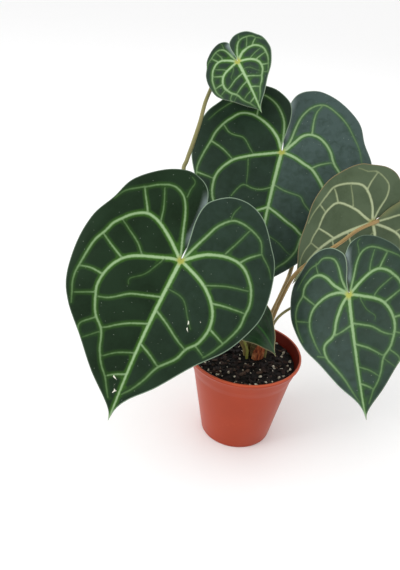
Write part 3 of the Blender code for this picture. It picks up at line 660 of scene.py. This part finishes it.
# Veins of each half: the kind, then the points they pass as x,y. Semicolons part the veins.
veinMaps = dict(
    near="""
base .01,-.02 .05,-.12 .08,-.19 .11,-.26 .15,-.31 .19,-.34 .24,-.345 .28,-.34 .33,-.325 .38,-.3 .405,-.265
    .42,-.23 .46,-.2 .5,-.165 .53,-.12;
main .015,-.01 .05,-.04 .11,-.085 .17,-.11 .22,-.125 .27,-.13 .32,-.125 .37,-.1 .41,-.06 .445,-.01 .47,.07
    .468,.14 .47,.2 .455,.26 .43,.32 .39,.4 .35,.46;
main .015,.005 .07,.025 .15,.06 .21,.1 .26,.15 .3,.215 .315,.29 .305,.36 .285,.41 .26,.435 .24,.465 .215,.53
    .145,.61 .12,.66 .1,.71 .06,.78 .02,.83;
side .0,.32 .09,.37 .18,.43 .24,.46;
side .0,.53 .07,.565 .14,.61;
side .27,.155 .35,.14 .46,.13;
side .32,-.13 .36,-.18 .42,-.23;
side .33,.3 .42,.34;
fine .0,.18 .11,.2 .18,.29 .22,.34;
thin .18,.08 .3,.03 .43,0;
thin .22,-.14 .26,-.23 .3,-.33;
thin .29,.42 .34,.45;
fine .17,-.33 .17,-.38 .19,-.43
""",
    far="""
base .01,-.02 .055,-.15 .09,-.26 .13,-.335 .18,-.37 .23,-.375 .27,-.36 .31,-.34 .35,-.31 .39,-.285 .44,-.25
    .47,-.22 .485,-.19 .5,-.16;
main .015,-.01 .05,-.04 .12,-.095 .2,-.145 .25,-.162 .29,-.165 .335,-.145 .375,-.115 .41,-.075 .445,-.03
    .465,.03 .49,.08 .503,.13 .51,.2 .515,.27 .517,.31 .507,.37 .485,.42 .46,.48;
main .015,.005 .05,.01 .13,.04 .21,.07 .27,.1 .31,.135 .345,.19 .367,.26 .37,.33 .355,.38 .33,.44 .3,.49
    .245,.54 .22,.59 .205,.64 .18,.69 .155,.73 .11,.78 .08,.83 .05,.88;
side .0,.24 .11,.275 .18,.3 .235,.34 .28,.37 .345,.39;
side .0,.41 .1,.45 .17,.49 .21,.52 .245,.54;
side .0,.72 .07,.75 .1,.77;
thin .3,.5 .37,.57 .34,.63;
side .29,-.17 .32,-.22 .34,-.25 .37,-.3;
side .31,.13 .39,.09 .46,.05;
side .37,.26 .45,.255 .51,.27;
thin .0,.59 .1,.63 .17,.68;
thin .36,.37 .47,.42;
fine .24,.56 .33,.64;
thin .2,-.15 .22,-.24 .26,-.34;
thin .22,.06 .27,.01 .35,-.04 .4,-.07;
fine .04,.01 .08,.02 .11,.08 .15,.16 .22,.22 .21,.25;
fine .12,-.35 .12,-.4 .11,-.45 .14,-.47
""",
    near2="""
main .01,.005 .1,.036 .168,.06 .232,.088 .288,.12 .344,.184 .376,.252 .38,.324 .372,.38 .352,.43 .3,.5
    .24,.56 .2,.64 .14,.73 .07,.84 .03,.9;
main .008,-.02 .036,-.084 .076,-.136 .14,-.192 .22,-.235 .3,-.235 .36,-.18 .4,-.128 .44,-.048 .455,.016
    .488,.124 .504,.204 .5,.27 .49,.36 .44,.46;
base .003,-.02 .008,-.112 .02,-.212 .06,-.3 .12,-.365 .2,-.4 .3,-.37 .38,-.3 .45,-.22 .5,-.14;
side .496,.248 .388,.272;
side .448,.016 .368,.056 .292,.116;
thin .4,-.128 .352,-.072 .308,-.06 .252,-.052 .204,.012 .168,.056;
firm .0,.4 .076,.444 .16,.49 .24,.55;
thin .004,.26 .072,.292 .132,.292 .184,.276 .22,.316 .248,.372;
fine .196,.092 .18,.176 .168,.276;
side .2,-.23 .2,-.32 .21,-.39;
side .0,.62 .06,.66 .13,.73
""",
    far2="""
main .015,.003 .044,.008 .1,.028 .156,.06 .204,.084 .252,.136 .308,.22 .33,.3 .32,.4 .28,.48 .232,.556
    .212,.66 .164,.744 .12,.788 .06,.87 .03,.93;
main .01,-.01 .028,-.026 .068,-.084 .112,-.144 .16,-.164 .216,-.152 .264,-.112 .304,-.056 .332,.016 .38,.08
    .44,.16 .47,.26 .46,.36 .42,.46 .37,.54;
base .01,-.02 .028,-.05 .044,-.104 .064,-.22 .09,-.3 .14,-.37 .21,-.4 .29,-.36 .37,-.29 .43,-.2 .48,-.11
    .51,0;
side .168,-.166 .164,-.252 .17,-.33 .2,-.395;
side .204,.084 .248,.048 .332,.012;
firm .0,.4 .064,.436 .124,.476 .18,.508 .232,.556;
thin .005,.24 .068,.268 .124,.28 .18,.292 .204,.332 .256,.384;
fine .0,.58 .052,.6 .108,.632 .152,.672 .188,.696;
side .33,.3 .4,.28 .47,.26
""",
    near3="""
main .015,.005 .08,.03 .16,.05 .25,.1 .31,.15 .324,.204 .292,.312 .252,.376 .188,.46 .144,.56 .112,.61
    .1,.7 .076,.776 .028,.848;
main .015,-.01 .11,-.09 .19,-.12 .27,-.13 .34,-.12 .4,-.06 .45,.02 .476,.116 .448,.2 .4,.316 .36,.42
    .3,.52;
base .01,-.02 .05,-.12 .08,-.19 .11,-.26 .15,-.31 .19,-.34 .24,-.345 .33,-.325 .38,-.3 .42,-.23 .46,-.2
    .5,-.165;
firm .0,.388 .108,.424 .188,.46;
side .0,.576 .048,.588 .112,.604;
side .4,.316 .292,.312;
side .32,.16 .4,.13 .475,.115;
side .28,-.13 .32,-.2 .36,-.31;
thin .2,.07 .3,.02 .42,-.03
""",
    near4="""
main .01,-.01 .05,-.05 .116,-.108 .184,-.192 .26,-.24 .32,-.232 .368,-.2 .412,-.148 .424,-.084 .48,-.016
    .508,.06 .512,.128 .5,.22 .46,.32;
main .015,0 .05,-.03 .128,-.04 .212,-.024 .3,.028 .348,.08 .376,.156 .376,.236 .336,.364 .3,.44;
side .424,-.084 .364,-.02 .308,.032;
thin .512,.128 .376,.164;
thin .265,-.24 .284,-.316 .284,-.36;
base .01,-.02 .04,-.15 .06,-.26 .104,-.348 .212,-.384 .268,-.344 .34,-.32 .42,-.24 .48,-.15;
side .0,.25 .08,.29 .164,.32;
main .015,.01 .06,.06 .1,.13 .135,.21 .15,.27 .175,.325 .232,.36 .264,.4 .248,.488 .196,.564 .13,.66 .07,.78
    .03,.86;
thin .25,.48 .33,.46
""",
)

bladeShape = dict(
    marginStep=1.3, veinStep=1.4, calm=3,  # point spacing, and how often a vein's kinks are evened
    fill=2.5, fillRow=0.87, fillGap=0.62, jitter=0.12,  # the loose grid, in mm and in shares of that
    insets=(0.6, 1.5), besideVein=(0, 0.9), closeGap=0.55, marginGap=0.4,  # rows by the margin and veins
    thickness=0.8, marginThickness=0.3, ribBelow=0.8, ribAbove=0.2, quilt=0.6, halfWidth=0.56,
    jointRib=1.9, curlRise=1.8, nearLobeRise=3.6)


def readVeins(text, length):  # (kind, line in mm) for each vein
    veins = []
    for vein in text.split(";"):
        kind, *spots = vein.split()
        spots = np.array([[float(v) for v in spot.split(",")] for spot in spots]) * length
        line = smoothLine(spots, bladeShape["veinStep"])
        for _ in range(bladeShape["calm"]):
            line[1:-1] = line[1:-1] / 2 + (line[:-2] + line[2:]) / 4
        veins.append((kind, line))
    return veins


def insideOutline(points, outline):  # a ray from an inside point crosses the outline an odd number of times
    x, y = points[:, :1], points[:, 1:]
    ax, ay = outline.T
    bx, by = np.roll(outline, -1, axis=0).T
    crosses = (ay > y) != (by > y)
    with np.errstate(divide="ignore", invalid="ignore"):
        crosses &= x < (bx - ax) * (y - ay) / (by - ay) + ax
    return crosses.sum(1) % 2 == 1


def thin(points, spacing, taken):  # keeps points that are at least their spacing from those kept so far
    kept = []
    for (x, y), gap in zip(points, spacing):
        column, row, reach = int(x // 1), int(y // 1), int(gap // 1) + 1
        near = (spot for i in range(-reach, reach + 1) for j in range(-reach, reach + 1)
                for spot in taken.get((column + i, row + j), ()))
        if all((x - a) ** 2 + (y - b) ** 2 >= gap * gap for a, b in near):
            taken.setdefault((column, row), []).append((x, y))
            kept.append((x, y))
    return kept


def asideOf(line):  # the way to the left of a flat line, at each of its points
    heading = np.gradient(line, axis=0)
    return np.column_stack([-heading[:, 1], heading[:, 0]]) / np.linalg.norm(heading, axis=1)[:, None]


def flatHalf(outline, veins, leaf, near):
    # one half of a blade laid flat, dense along veins and margin: points, triangles, what each point knows
    shape = bladeShape
    length = leafAxes(leaf)[1]
    margin = smoothLine(np.array(outline) * length, shape["marginStep"])
    rows = round(length / shape["veinStep"])
    midrib = np.column_stack([np.zeros(rows - 1), length * (1 - np.arange(1, rows) / rows)])
    border = np.vstack([margin, midrib])
    inward = asideOf(margin)
    seeds = [margin + inward * inset for inset in shape["insets"]]
    for kind, line in veins:
        half = np.linspace(*veinKinds[kind][:2], len(line))[:, None] / 2
        aside = asideOf(line)
        seeds += [line]
        seeds += [line + aside * way * (half + extra) for way in (-1, 1) for extra in shape["besideVein"]]
    spine = np.vstack([[(0, length)], midrib, [(0, 0)]])
    half = np.linspace(*midribWidths[::-1], len(spine))[:, None] / 2
    seeds += [spine + np.array((1, 0)) * (half + extra) for extra in shape["besideVein"]]
    close = np.vstack(seeds)
    fill = shape["fill"]
    dice = np.random.default_rng(5)
    levels = np.arange(-0.52 * length, length, fill * shape["fillRow"])
    grid = np.array([(x + (row % 2) * fill / 2, y) for row, y in enumerate(levels)
                     for x in np.arange(-0.05 * length, 0.62 * length, fill)])
    grid = grid + dice.uniform(-shape["jitter"], shape["jitter"], grid.shape) * fill
    both = np.vstack([close, grid])
    spacing = np.repeat([shape["closeGap"], fill * shape["fillGap"]], [len(close), len(grid)])
    away, _ = lineDistance(both, np.vstack([border, border[:1]]))
    good = insideOutline(both, border) & (away > shape["marginGap"])
    taken = {}
    for x, y in border:
        taken.setdefault((int(x // 1), int(y // 1)), []).append((x, y))
    points = border.tolist() + thin(both[good].tolist(), spacing[good].tolist(), taken)
    edges = [(at, (at + 1) % len(border)) for at in range(len(border))]
    found = delaunay_2d_cdt([Vector(p) for p in points], edges, [], 1, 1e-4)
    flat = np.array([tuple(p) for p in found[0]])
    triangles = np.array([tuple(face) for face in found[2]])
    return flat, triangles, halfTraits(flat, margin, veins, spine, leaf, near)


def halfTraits(flat, margin, veins, spine, leaf, near):  # what the skin knows at each point; distances in mm
    away, along = lineDistance(flat, spine)
    half = midribWidths[1] / 2 + (midribWidths[0] - midribWidths[1]) / 2 * along
    gap, pale = away - half, 0.75 + 0.25 * along
    rib = (0.35 + 0.65 * along) * fade(1 - away / (half + 1.3))
    for kind, line in veins:  # the closest vein gives the gap and the paleness, the tallest gives the rib
        away, along = lineDistance(flat, line)
        first, last, strong, weak = veinKinds[kind]
        half = (first + (last - first) * along) / 2
        closer = away - half < gap
        gap = np.where(closer, away - half, gap)
        pale = np.where(closer, weak + (strong - weak) * (1 - along) ** 0.8, pale)
        tall = 0.9 * strong * (1 - 0.5 * along)
        rib = np.maximum(rib, tall * fade(1 - away / (half + 1.1)))
    rimGap, _ = lineDistance(flat, margin)
    length = leafAxes(leaf)[1]
    x, y = flat.T / length
    fromJoint = np.linalg.norm(flat, axis=1)
    rib = np.maximum(rib, bladeShape["jointRib"] * fade(1 - fromJoint / 3.4))
    curl, rimShare = np.zeros(len(flat)), np.ones(len(flat))
    if not near:  # the far half curls up along the slit between the lobes, and its margin is paler there; the curl also places a painted sheen, a pale grey band, on that curled edge
        curl = fade(1 - rimGap / 7.5) * fade((-y - 0.06) / 0.1) * fade((0.14 - x) / 0.09)
        curl = curl * fade((0.46 + y) / 0.12)
        rimShare = 0.35 + 0.65 * fade((-y - 0.3) / 0.1) * fade((0.14 - x) / 0.09)
    # painted sheen: how much bluish-grey reflection is painted on, blending from the lobes to the tip
    lowSheen, highSheen = leaf["paintedSheen"][1 if near else 0]
    paintedSheen = lowSheen + (highSheen - lowSheen) * fade((y + 0.45) / 1.2)
    scarGap = np.full(len(flat), 9.0)  # far from any scar
    for mark in leaf.get("scars", ((), ()))[1 if near else 0]:
        scarGap = np.minimum(scarGap, lineDistance(flat, np.array(mark) * length)[0])
    return dict(veinGap=gap, pale=pale * leaf.get("veinShare", 1), rib=rib, fromJoint=fromJoint,
                rimGap=rimGap, rimShare=rimShare, curl=curl, paintedSheen=paintedSheen, scarGap=scarGap)


def leafAxes(leaf):  # joint, length, the way to the tip, the upper face's way and the blade's own right
    joint = np.array(leaf["joint"], float)
    chord = np.array(leaf["tip"]) - joint
    length = np.linalg.norm(chord)
    along = chord / length
    up = np.array(leaf["up"]) - along * np.dot(leaf["up"], along)
    up = up / np.linalg.norm(up)
    return joint, length, along, up, np.cross(up, along)


def shaped(leaf, side, flat, traits):  # the flat half put where the living blade has it
    joint, length, along, up, right = leafAxes(leaf)
    x, y = flat[:, 0] / length, flat[:, 1] / length
    edge = np.abs(x) / bladeShape["halfWidth"]
    sway = leaf["bend"] * np.sin(math.pi * np.clip(y, 0, 1)) * np.maximum(0, 1 - edge)
    across = side * x * length * leaf["width"] + sway
    rise = 4 * leaf["bow"] * np.where(y > 0, y * (1 - y), 0.55 * y)
    rise = rise + leaf["fold"] * np.abs(x) * length - leaf["curl"] * edge ** 3
    phase = leaf["phase"][0 if side == leaf["near"] else 1]
    rise = rise + leaf["wave"] * edge ** 2 * np.sin(2 * math.pi * leaf["waves"] * y + phase)
    if side == leaf["near"]:
        rise = rise + bladeShape["nearLobeRise"] * fade(-y / 0.15) * fade((0.3 - x) / 0.3)
    # the skin puffs up between the veins
    clear = np.minimum(np.maximum(traits["veinGap"], 0), traits["rimGap"] * 0.8)
    rise = rise + bladeShape["quilt"] * fade(clear / 8)
    rise = rise + bladeShape["curlRise"] * traits["curl"] ** 2
    reach = y * length * np.where(y < 0, leaf["lobe"], 1)
    return joint + reach[:, None] * along + across[:, None] * right + rise[:, None] * up


def makeBlade(number, leaf, materials):  # the materials: upper skin, underside and margin
    length = leafAxes(leaf)[1]
    sheet, triangles, traits, known, count = [], [], [], {}, 0
    for side in (-1, 1):
        near = side == leaf["near"]
        veins = readVeins(veinMaps[leaf["veins"][1 if near else 0]], length)
        if leaf.get("young"):
            veins = [("fine", line) for kind, line in veins if kind in ("main", "base")]
        flat, corners, learnt = flatHalf(halfNear if near else halfFar, veins, leaf, near)
        places = shaped(leaf, side, flat, learnt)
        onSpine = (np.abs(flat[:, 0]) < 1e-3) & (flat[:, 1] > -1e-3)
        numbers, fresh = np.empty(len(flat), int), []
        for at in range(len(flat)):  # both halves share the points on the midrib
            key = round(float(flat[at, 1]), 2) if onSpine[at] else (side, at)
            if key not in known:
                known[key] = count
                fresh.append(at)
                count += 1
            numbers[at] = known[key]
        sheet.append(places[fresh])
        traits.append({trait: values[fresh] for trait, values in learnt.items()})
        corners = numbers[corners]
        triangles.append(corners if side < 0 else corners[:, ::-1])
    sheet, triangles = np.vstack(sheet), np.vstack(triangles)
    traits = {trait: np.concatenate([part[trait] for part in traits]) for trait in traits[0]}

    a, b, c = (sheet[triangles[:, corner]] for corner in range(3))
    faceNormals = np.cross(b - a, c - a)
    normals = np.zeros_like(sheet)
    for corner in range(3):
        np.add.at(normals, triangles[:, corner], faceNormals)
    normals /= np.maximum(np.linalg.norm(normals, axis=1), 1e-9)[:, None]

    full, least = bladeShape["thickness"] / 2, bladeShape["marginThickness"] / 2
    thick = least + (full - least) * fade(traits["rimGap"] / 3)
    rib = traits.pop("rib")
    above = sheet + normals * (thick + bladeShape["ribAbove"] * rib)[:, None]
    below = sheet - normals * (thick + bladeShape["ribBelow"] * rib)[:, None]
    points = np.vstack([above, below])
    sides = {(t[i], t[(i + 1) % 3]) for t in triangles.tolist() for i in range(3)}
    wall = [(b, a, count + a, count + b) for a, b in sorted(sides) if (b, a) not in sides]
    faces = triangles.tolist() + (triangles[:, ::-1] + count).tolist() + wall
    kinds = [0] * len(triangles) + [1] * len(triangles) + [2] * len(wall)
    doubled = {trait: np.concatenate([values, values]) for trait, values in traits.items()}
    piece = buildPiece("leaf_blade_" + number, points, faces, materials, "blade_" + number,
                       faceMaterials=kinds, traits=doubled)
    print("blade", number, "made,", len(piece.data.polygons), "faces")


# the upper skin, the underside and the same of the young leaf; gloss is the specular level; the bluish-grey
# tint is painted sheen, a reflection painted into the colour
# the curl tint is painted sheen: a pale band painted where the far half curls up by the slit
velvetLook = dict(dark="#0e210c", light="#182c18", paintedSheen="#42534f", paintedSheenShare=0.85, sheenTint="#9fb8b4",
                  sheen=0.07, halo="#3d6a1c", haloReach=3.2, haloShare=0.9, vein="#9cb98b", dimVein="#3c6029",
                  joint="#a0a54f", rim="#8ea48c", curl="#93a3a2", speck="#a9b6a6", scar="#f2f2e0",
                  roughness=0.5, gloss=0.16)
underLook = dict(dark="#3b4a2f", light="#4e5d42", paintedSheen="#5a6957", paintedSheenShare=0.5, sheenTint="#c8cfb5",
                 sheen=0.05, halo="#616e44", haloReach=1.6, haloShare=0.5, vein="#b4bf98", dimVein="#707c54",
                 joint="#a9a86c", rim="#857450", curl="#6c7148", speck="#7c8058", scar="#8c8c60",
                 roughness=0.5, gloss=0.3)
youngLook = dict(dark="#0a250b", light="#123913", paintedSheen="#164217", paintedSheenShare=0.3, sheenTint="#bfe0b0",
                 sheen=0.0, halo="#184315", haloReach=1.6, haloShare=0.4, vein="#2b5a23", dimVein="#15400f",
                 joint="#7c9448", rim="#a89a68", curl="#1d4a1a", speck="#1d4a1a", scar="#1d4a1a",
                 roughness=0.32, gloss=0.4)
youngUnderLook = dict(youngLook, dark="#24461c", light="#345a28", roughness=0.4)
marginLook = dict(tan="#8c8a6c", pink="#94825e")


def makeLeafSkin(name, look):
    # leaf skin: grown, with raised cells that scatter light, which gives velvet above and satin beneath
    material, tree, shader = newMaterial(name, IOR=1.42, Specular_IOR_Level=look["gloss"],
                                         Sheen_Weight=look["sheen"], Sheen_Roughness=0.45,
                                         Sheen_Tint=look["sheenTint"])
    place = addNode(tree, "TexCoord")["Object"]
    known = {trait: addNode(tree, "Attribute", attribute_name=trait)["Fac"]
             for trait in ("veinGap", "pale", "rimGap", "rimShare", "fromJoint", "curl", "paintedSheen", "scarGap")}
    # size in mm, detail and distortion; the real cells are about 0.05 mm, drawn at 0.5 mm so that they show
    cloud, sheenRoughNoise, mottle, cells = (
        addNode(tree, "TexNoise", {"Vector": place, "Scale": 1 / (size * mm), "Detail": detail,
                                   "Distortion": distortion})["Fac"]
        for size, detail, distortion in ((28, 3, 0), (7, 5, 0.6), (2.2, 4, 0), (0.5, 2, 0)))
    dots = addNode(tree, "TexVoronoi", {"Vector": place, "Scale": 1 / (5 * mm)})["Distance"]
    # ragged vein edges: the gap to the vein shifts a little with the noise
    edge = addNode(tree, "Math", [mottle, 0.9, known["veinGap"]], operation="MULTIPLY_ADD")[0]
    edge = addNode(tree, "Math", [edge, 0.45], operation="SUBTRACT")[0]
    broken = addNode(tree, "Math", [cells, 0.9, known["scarGap"]], operation="MULTIPLY_ADD")[0]

    # each share: what it reads, the range it reads there, and what it becomes at the two ends
    share = {key: addNode(tree, "MapRange", values)[0] for key, values in dict(
        cloud=[cloud, 0.38, 0.62, 0, 1], mottle=[mottle, 0.35, 0.7, 0, 0.4],
        sheenPatch=[sheenRoughNoise, 0.25, 0.75, 0.55, 1.25], speck=[dots, 0.07, 0.035, 0, 0.5],
        curl=[known["curl"], 0.05, 1, 0, 0.75], rim=[known["rimGap"], 1, 0.2, 0, 0.9],
        joint=[known["fromJoint"], 3, 2.2, 0, 1], veinJoint=[known["fromJoint"], 5.5, 1.5, 0, 1],
        core=[known["pale"], 0, 0.5, 0.55, 1], scar=[broken, 1.1, 0.8, 0, 1],
        rough=[sheenRoughNoise, 0.3, 0.7, look["roughness"] - 0.06, look["roughness"] + 0.1]).items()}
    halo, core = (addNode(tree, "MapRange", values, interpolation_type="SMOOTHSTEP")[0] for values in (
        [edge, look["haloReach"], 0, 0, look["haloShare"]], [edge, 0.75, -0.65, 0, 1]))
    # painted sheen: a bluish-grey reflection painted into the colour, in noisy patches
    sheenPatch = addNode(tree, "Math", [share["sheenPatch"], look["paintedSheenShare"]], operation="MULTIPLY")[0]
    for key, first, second in (("sheenPatch", known["paintedSheen"], sheenPatch), ("halo", known["pale"], halo),
                               ("core", core, share["core"]), ("rim", share["rim"], known["rimShare"])):
        share[key] = addNode(tree, "Math", [first, second], operation="MULTIPLY")[0]

    vein = addNode(tree, "MixRGB", [known["pale"], look["dimVein"], look["vein"]])[0]
    vein = addNode(tree, "MixRGB", [share["veinJoint"], vein, look["joint"]])[0]
    # the curl tint is painted sheen laid on the curled slit edge
    color = addNode(tree, "MixRGB", [share["cloud"], look["dark"], look["light"]])[0]
    for key, tint in (("mottle", look["light"]), ("sheenPatch", look["paintedSheen"]), ("speck", look["speck"]),
                      ("curl", look["curl"]), ("halo", look["halo"]), ("core", vein), ("rim", look["rim"]),
                      ("joint", look["joint"]), ("scar", look["scar"])):
        color = addNode(tree, "MixRGB", [share[key], color, tint])[0]
    relief = addNode(tree, "Math", [mottle, 1.6, cells], operation="MULTIPLY_ADD")[0]
    bump = addNode(tree, "Bump", {"Height": relief, "Strength": 0.35, "Distance": 0.12 * mm})[0]
    setInputs(tree, shader, {"Base Color": color, "Roughness": share["rough"], "Normal": bump})
    return material


def makeMarginMaterial():
    # leaf margin: a thin seam of clear tissue, which gives a pale tan line round the blade
    material, tree, shader = newMaterial("leafMarginSeam", Roughness=0.45)
    place = addNode(tree, "TexCoord")["Object"]
    tint = addNode(tree, "TexNoise", {"Vector": place, "Scale": 1 / (8 * mm), "Detail": 3})["Fac"]
    color = addNode(tree, "MixRGB", [tint, marginLook["tan"], marginLook["pink"]])[0]
    setInputs(tree, shader, {"Base Color": color})
    return material


makePot()
# what the grains keep clear of: x, y and radius of each stalk's foot, and of the stem with its sheaths
feet = [(*leaf["path"][0], leaf["radius"] + 0.8) for leaf in leaves.values()] + [(*crownStem["place"], 11)]
makeSoil(feet)
makeStem()
makeSheaths()
margin = makeMarginMaterial()
grownSkins = [makeLeafSkin("velvetLeafSkin", velvetLook), makeLeafSkin("leafUnderside", underLook), margin]
youngSkins = [makeLeafSkin("youngLeafSkin", youngLook), makeLeafSkin("youngLeafUnderside", youngUnderLook),
              margin]
grownStalk = makeStalkMaterial("leafStalkSkin", leafStalk["grown"])
youngStalk = makeStalkMaterial("youngStalkSkin", leafStalk["young"])
for number, leaf in leaves.items():
    young = leaf.get("young", False)
    makeStalk(number, leaf, youngStalk if young else grownStalk)
    makeBlade(number, leaf, youngSkins if young else grownSkins)


# Studio

studio = dict(
    floor="#ffffff", floorHalf=8, floorLevel=-0.0002, world=0.94, aim=(0, 0, 0.12),  # in metres
    lamps=dict(keyLight=dict(place=(-1.5, -0.6, 1.05), size=0.9, watts=15.2),
               fillLight=dict(place=(1.3, -0.7, 0.9), size=1.2, watts=0.8),
               backLight=dict(place=(0.4, 1.3, 1.3), size=1.0, watts=1.6)))
# as the photograph: angles in degrees, place in metres
photoCamera = dict(place=(-0.04657, -0.51378, 0.43697), down=29, roll=5.2, lens=42.44, sensor=36)


def makeStudio():
    # backdrop paper: pressed and matte, which gives a plain white floor
    material, tree, shader = newMaterial("matteWhitePaper", Roughness=0.9)
    place = addNode(tree, "TexCoord")["Object"]
    # clouds of about 17 mm stand for the fibres, which are far too fine to show
    fibre = addNode(tree, "TexNoise", {"Vector": place, "Scale": 60, "Detail": 3})["Fac"]
    tint = addNode(tree, "MapRange", [fibre, 0, 1, 0.985, 1])[0]
    color = addNode(tree, "MixRGB", [1, studio["floor"], tint], blend_type="MULTIPLY")[0]
    setInputs(tree, shader, {"Base Color": color})
    half, level = studio["floorHalf"], studio["floorLevel"]
    corners = [(-half, -half, level), (half, -half, level), (half, half, level), (-half, half, level)]
    mesh = bpy.data.meshes.new("floor")
    mesh.from_pydata(corners, [], [(0, 1, 2, 3)])
    mesh.materials.append(material)
    floor = bpy.data.objects.new("floor", mesh)
    bpy.context.scene.collection.objects.link(floor)

    world = bpy.data.worlds.new("studio")
    bpy.context.scene.world = world
    world.use_nodes = True
    setInputs(world.node_tree, world.node_tree.nodes["Background"],
              {"Color": (1, 1, 1, 1), "Strength": studio["world"]})
    for name, lamp in studio["lamps"].items():
        light = bpy.data.lights.new(name, "AREA")
        light.size, light.energy = lamp["size"], lamp["watts"]
        holder = bpy.data.objects.new(name, light)
        holder.location = lamp["place"]
        toAim = Vector(studio["aim"]) - Vector(lamp["place"])
        holder.rotation_euler = toAim.to_track_quat("-Z", "Y").to_euler()
        bpy.context.scene.collection.objects.link(holder)
    bpy.context.scene.view_settings.view_transform = "Standard"


def makeCamera():
    pitch, roll = math.radians(photoCamera["down"]), math.radians(photoCamera["roll"])
    upright = Vector((0, math.sin(pitch), math.cos(pitch)))
    ahead = Vector((0, math.cos(pitch), -math.sin(pitch)))
    right = math.cos(roll) * Vector((1, 0, 0)) + math.sin(roll) * upright
    up = -math.sin(roll) * Vector((1, 0, 0)) + math.cos(roll) * upright
    camera = bpy.data.objects.new("camera", bpy.data.cameras.new("camera"))
    camera.data.lens = photoCamera["lens"]
    camera.data.sensor_width = photoCamera["sensor"]
    turn = Matrix((right, up, -ahead)).transposed().to_4x4()
    camera.matrix_world = Matrix.Translation(photoCamera["place"]) @ turn
    bpy.context.scene.collection.objects.link(camera)
    bpy.context.scene.camera = camera


makeStudio()
makeCamera()
print("studio and camera made")
print("scene done")
